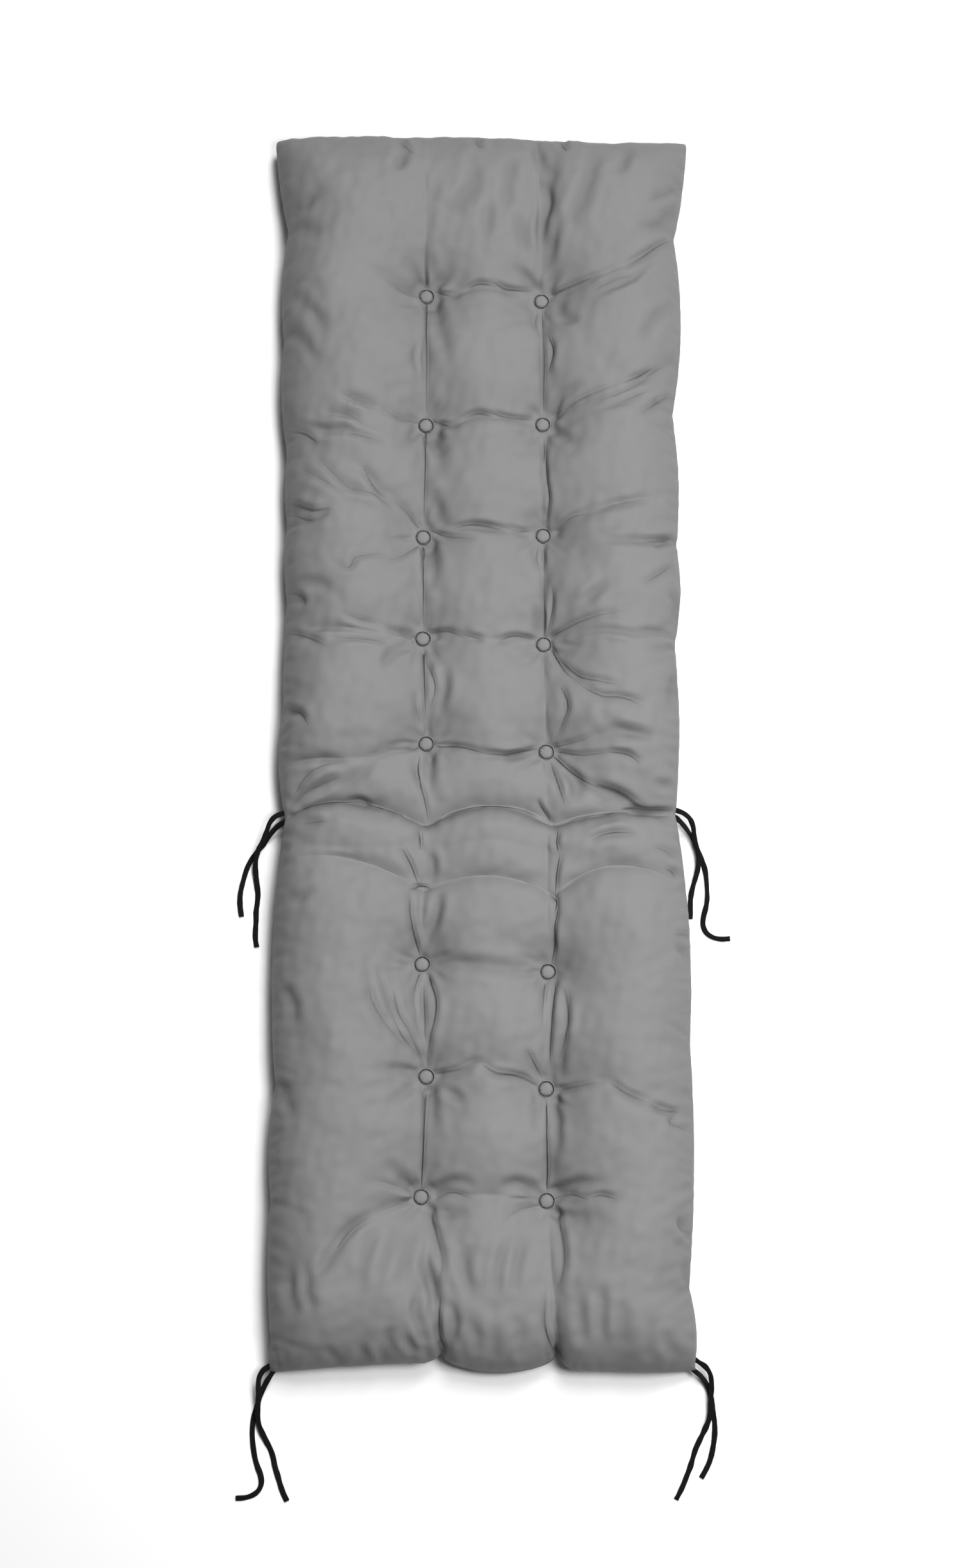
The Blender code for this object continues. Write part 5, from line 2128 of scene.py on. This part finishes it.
@dataclass
class Buttons:
    """Sixteen cloth-covered buttons, each with a few gathers at its rim."""

    finish: ClothFinish
    radius: float = 8.6 * MM
    rise: float = 5.6 * MM
    base: float = 47.3 * MM
    sides: int = 44
    gather: float = 0.45 * MM
    sway: float = 0.3 * MM
    profile: tuple[tuple[float, float], ...] = (
        (0.80, 0.00),
        (0.93, 0.10),
        (1.00, 0.28),
        (1.00, 0.46),
        (0.95, 0.64),
        (0.86, 0.77),
        (0.72, 0.88),
        (0.54, 0.95),
        (0.34, 0.985),
        (0.15, 1.00),
    )

    def build(self) -> list[bpy.types.Object]:
        """Builds every button.

        Returns:
            The buttons' objects.
        """
        material = self.finish.make()
        made = []
        for row in TUFT_ROWS:
            for side, place in zip(Side, (row.left, row.right)):
                name = f"{side.name.lower()}_{row.number}"
                seed = row.number + 10 * side.value
                button = self.build_one(f"covered_button_{name}", place, seed, material)
                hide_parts(f"button_{name}")
                made.append(button)
        return made

    def build_one(
        self, name: str, place: tuple[float, float], seed: int, material: bpy.types.Material
    ) -> bpy.types.Object:
        """Builds one button.

        Args:
            name: The button's name.
            place: Its middle, across and along the pad.
            seed: What its own gathers and its cloth's turn are drawn from.
            material: Its finish.

        Returns:
            The button's object.
        """
        draw = random.Random(seed)
        turns = even_turns(self.sides)
        pleats = sum(
            draw.uniform(0.3, 1.0) * np.cos(count * turns + draw.uniform(0, math.tau))
            for count in (3, 5, 8, 11)
        )
        tilt = draw.uniform(0, math.tau)
        points = [(0, 0, 0)]
        for share, height in self.profile:
            out = self.radius * share - self.gather * 0.5 * pleats * share**6
            drop = self.gather * 0.6 * pleats * share**3 * height
            x, y = out * np.cos(turns), out * np.sin(turns)
            sway = self.sway * height * np.cos(turns - tilt) * share
            points += list(zip(x, y, height * self.rise - drop + sway))
        points.append((0, 0, self.rise))
        spots = np.array(points)
        turn = np.array(((math.cos(tilt), -math.sin(tilt)), (math.sin(tilt), math.cos(tilt))))
        places = spots[:, :2] @ turn * 1.15
        spots += (*place, self.base)
        button = build_object(name, spots, self.faces(), places, material)
        # Painted shade: the button's outer quarter is darkened towards the cloth's shadow level, as in
        # the gap round it
        rim = (np.hypot(*(spots[:, :2] - place).T) / self.radius - 0.75) * 2.5
        write_attribute(button, "dip", np.clip(rim, 0, 1))
        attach(button, "root")
        return button

    def faces(self) -> list[list[int]]:
        """The faces of one button: round its flat bottom, its rings and its top.

        Returns:
            Each face's points.
        """
        top = 1 + len(self.profile) * self.sides
        highest = top - self.sides
        faces = []
        for side in range(self.sides):
            following = (side + 1) % self.sides
            faces.append([0, 1 + following, 1 + side])
            for low in range(1, highest, self.sides):
                high = low + self.sides
                faces.append([low + side, low + following, high + following, high + side])
            faces.append([highest + side, highest + following, top])
        return faces


@dataclass
class TieStrings:
    """Eight flat braided strings, each from the seam to its bare end on the floor."""

    finish: StringFinish
    width: float = 7.0 * MM
    thickness: float = 2.6 * MM
    floor_height: float = 3.3 * MM
    inside: float = 7 * MM
    sink: float = 1.5 * MM
    steps: int = 5
    sides: int = 14
    lean: float = 0.30
    width_change: float = 0.06
    clearance: float = 0.2 * MM

    def build(self) -> list[bpy.types.Object]:
        """Builds every string.

        Returns:
            The strings' objects.
        """
        material = self.finish.make()
        return [self.build_one(tie, number, material) for number, tie in enumerate(TIES)]

    def route(self, tie: Tie) -> Array:
        """A string's middle line, from just inside the seam to its bare end.

        Args:
            tie: The string's row.

        Returns:
            The line's points.
        """
        falls = np.full(len(tie.route), self.floor_height)
        count = min(len(tie.heights), len(falls))
        falls[:count] = tie.heights[:count]
        points = np.column_stack((tie.route, falls - self.sink))
        inward = points[0] - points[1]
        inward[2] = 0
        start = points[0] + inward / np.linalg.norm(inward) * self.inside
        return smooth_curve(np.vstack((start, points)), self.steps)

    def build_one(self, tie: Tie, number: int, material: bpy.types.Material) -> bpy.types.Object:
        """Builds one string.

        Args:
            tie: The string's row.
            number: Its place in the table, from which its twists are drawn.
            material: Its finish.

        Returns:
            The string's object.
        """
        route = self.route(tie)
        lengths = np.concatenate(([0], np.cumsum(np.linalg.norm(np.diff(route, axis=0), axis=1))))
        points = self.sweep(route, lengths, number)
        faces = self.faces(len(route))
        turns = even_turns(self.sides)
        around = np.broadcast_to(turns / math.tau * 2 * self.width, (len(route), self.sides))
        along = np.broadcast_to(lengths[:, None], around.shape)
        places = np.stack((around, along), -1).reshape(-1, 2)
        string = build_object(f"string_{tie.name[4:]}", points, faces, places, material)
        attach(string, "root")
        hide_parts(tie.name)
        return string

    def sweep(self, route: Array, lengths: Array, number: int) -> Array:
        """The points round a string: flat, twisted a little and uneven in its width.

        Args:
            route: The string's middle line.
            lengths: How far along it each of its points is.
            number: What its twists are drawn from.

        Returns:
            The points, ring after ring.
        """
        ahead = np.gradient(route, axis=0)
        ahead /= np.linalg.norm(ahead, axis=1, keepdims=True)
        level = np.cross((0, 0, 1), ahead)
        level /= np.linalg.norm(level, axis=1, keepdims=True)
        upright = np.cross(ahead, level)
        zero = np.zeros_like(lengths)
        twist = Unevenness(seed=50 + number, shortest=0.03, longest=0.11, count=6)
        change = Unevenness(seed=70 + number, shortest=0.008, longest=0.03, count=6)
        roll = self.lean * twist.read(lengths, zero)
        wide = self.width * (1 + self.width_change * change.read(lengths, zero))
        turns = even_turns(self.sides)
        flat = np.sign(np.cos(turns)) * np.abs(np.cos(turns)) ** 0.8 / 2
        thick = np.sign(np.sin(turns)) * np.abs(np.sin(turns)) ** 0.8 / 2
        side = level * np.cos(roll)[:, None] + upright * np.sin(roll)[:, None]
        face = upright * np.cos(roll)[:, None] - level * np.sin(roll)[:, None]
        rings = (
            route[:, None]
            + side[:, None] * flat[None, :, None] * wide[:, None, None]
            + face[:, None] * thick[None, :, None] * self.thickness
        )
        rings[..., 2] = np.maximum(rings[..., 2], self.clearance)
        return rings.reshape(-1, 3)

    def faces(self, count: int) -> list[list[int]]:
        """The faces of a string, with both of its ends closed.

        Args:
            count: How many rings of points the string has.

        Returns:
            Each face's points.
        """
        last = (count - 1) * self.sides
        faces = []
        for low in range(0, last, self.sides):
            high = low + self.sides
            for corner in range(self.sides):
                following = (corner + 1) % self.sides
                faces.append([low + following, low + corner, high + corner, high + following])
        faces.append(list(range(self.sides)))
        faces.append([last + corner for corner in reversed(range(self.sides))])
        return faces


@dataclass
class Studio:
    """The camera at the photo's angle, a white floor and soft lights."""

    floor: FloorFinish
    middle: tuple[float, float, float] = (0.0038, -0.0753, 0.045)
    distance: float = 3.0
    tilt: float = math.radians(9)
    lens: float = 51.5
    film: float = 36.0
    surround: float = 0.09
    floor_size: float = 12.0

    def build(self) -> None:
        """Builds the camera, the floor and the lights."""
        scene = bpy.context.scene
        scene.view_settings.view_transform = "Standard"
        scene.camera = self.build_camera()
        self.build_floor()
        self.build_surround()
        for lamp in LAMPS:
            self.build_light(lamp)

    def build_camera(self) -> bpy.types.Object:
        """Builds the camera, tilted from straight above towards the foot.

        Returns:
            The camera.
        """
        lens = bpy.data.cameras.new("camera")
        lens.lens = self.lens
        lens.sensor_width = self.film
        camera = bpy.data.objects.new("camera", lens)
        offset = Vector((0, -math.sin(self.tilt), math.cos(self.tilt))) * self.distance
        camera.location = Vector(self.middle) + offset
        camera.rotation_euler = (self.tilt, 0, 0)
        bpy.context.scene.collection.objects.link(camera)
        return camera

    def build_floor(self) -> None:
        """Builds the floor."""
        half = self.floor_size / 2
        corners = np.array(((-half, -half, 0), (half, -half, 0), (half, half, 0), (-half, half, 0)))
        floor = build_object("floor", corners, [[0, 1, 2, 3]], corners[:, :2], self.floor.make())

    def build_surround(self) -> None:
        """Sets the even light from all round."""
        world = bpy.data.worlds.new("white room")
        world.use_nodes = True
        background = world.node_tree.nodes["Background"]
        background.inputs["Color"].default_value = (1, 1, 1, 1)
        background.inputs["Strength"].default_value = self.surround
        bpy.context.scene.world = world

    def build_light(self, lamp: Lamp) -> None:
        """Builds one soft light that faces the pad.

        Args:
            lamp: The light's row.
        """
        area = bpy.data.lights.new(lamp.name, "AREA")
        area.energy = lamp.power
        area.shape = "RECTANGLE"
        area.size, area.size_y = lamp.size
        light = bpy.data.objects.new(lamp.name, area)
        light.location = lamp.place
        facing = Vector(self.middle) - Vector(lamp.place)
        light.rotation_euler = facing.to_track_quat("-Z", "Y").to_euler()
        bpy.context.scene.collection.objects.link(light)


def main() -> None:
    """Builds the pad, its buttons and its strings, and reports each."""
    logging.basicConfig(level=logging.INFO, format="%(message)s")
    strings = TieStrings(StringFinish()).build()
    REPORT.info("built %d strings", len(strings))
    pad = Pad(ClothFinish(crease_sets=5)).build()
    REPORT.info("built the pad with %d points", len(pad.data.vertices))
    covered = ClothFinish(name="grey button cloth", level=0.162, pucker_height=0.25 * MM)
    buttons = Buttons(covered).build()
    REPORT.info("built %d buttons", len(buttons))
    Studio(FloorFinish()).build()


if __name__ == "__main__":
    main()
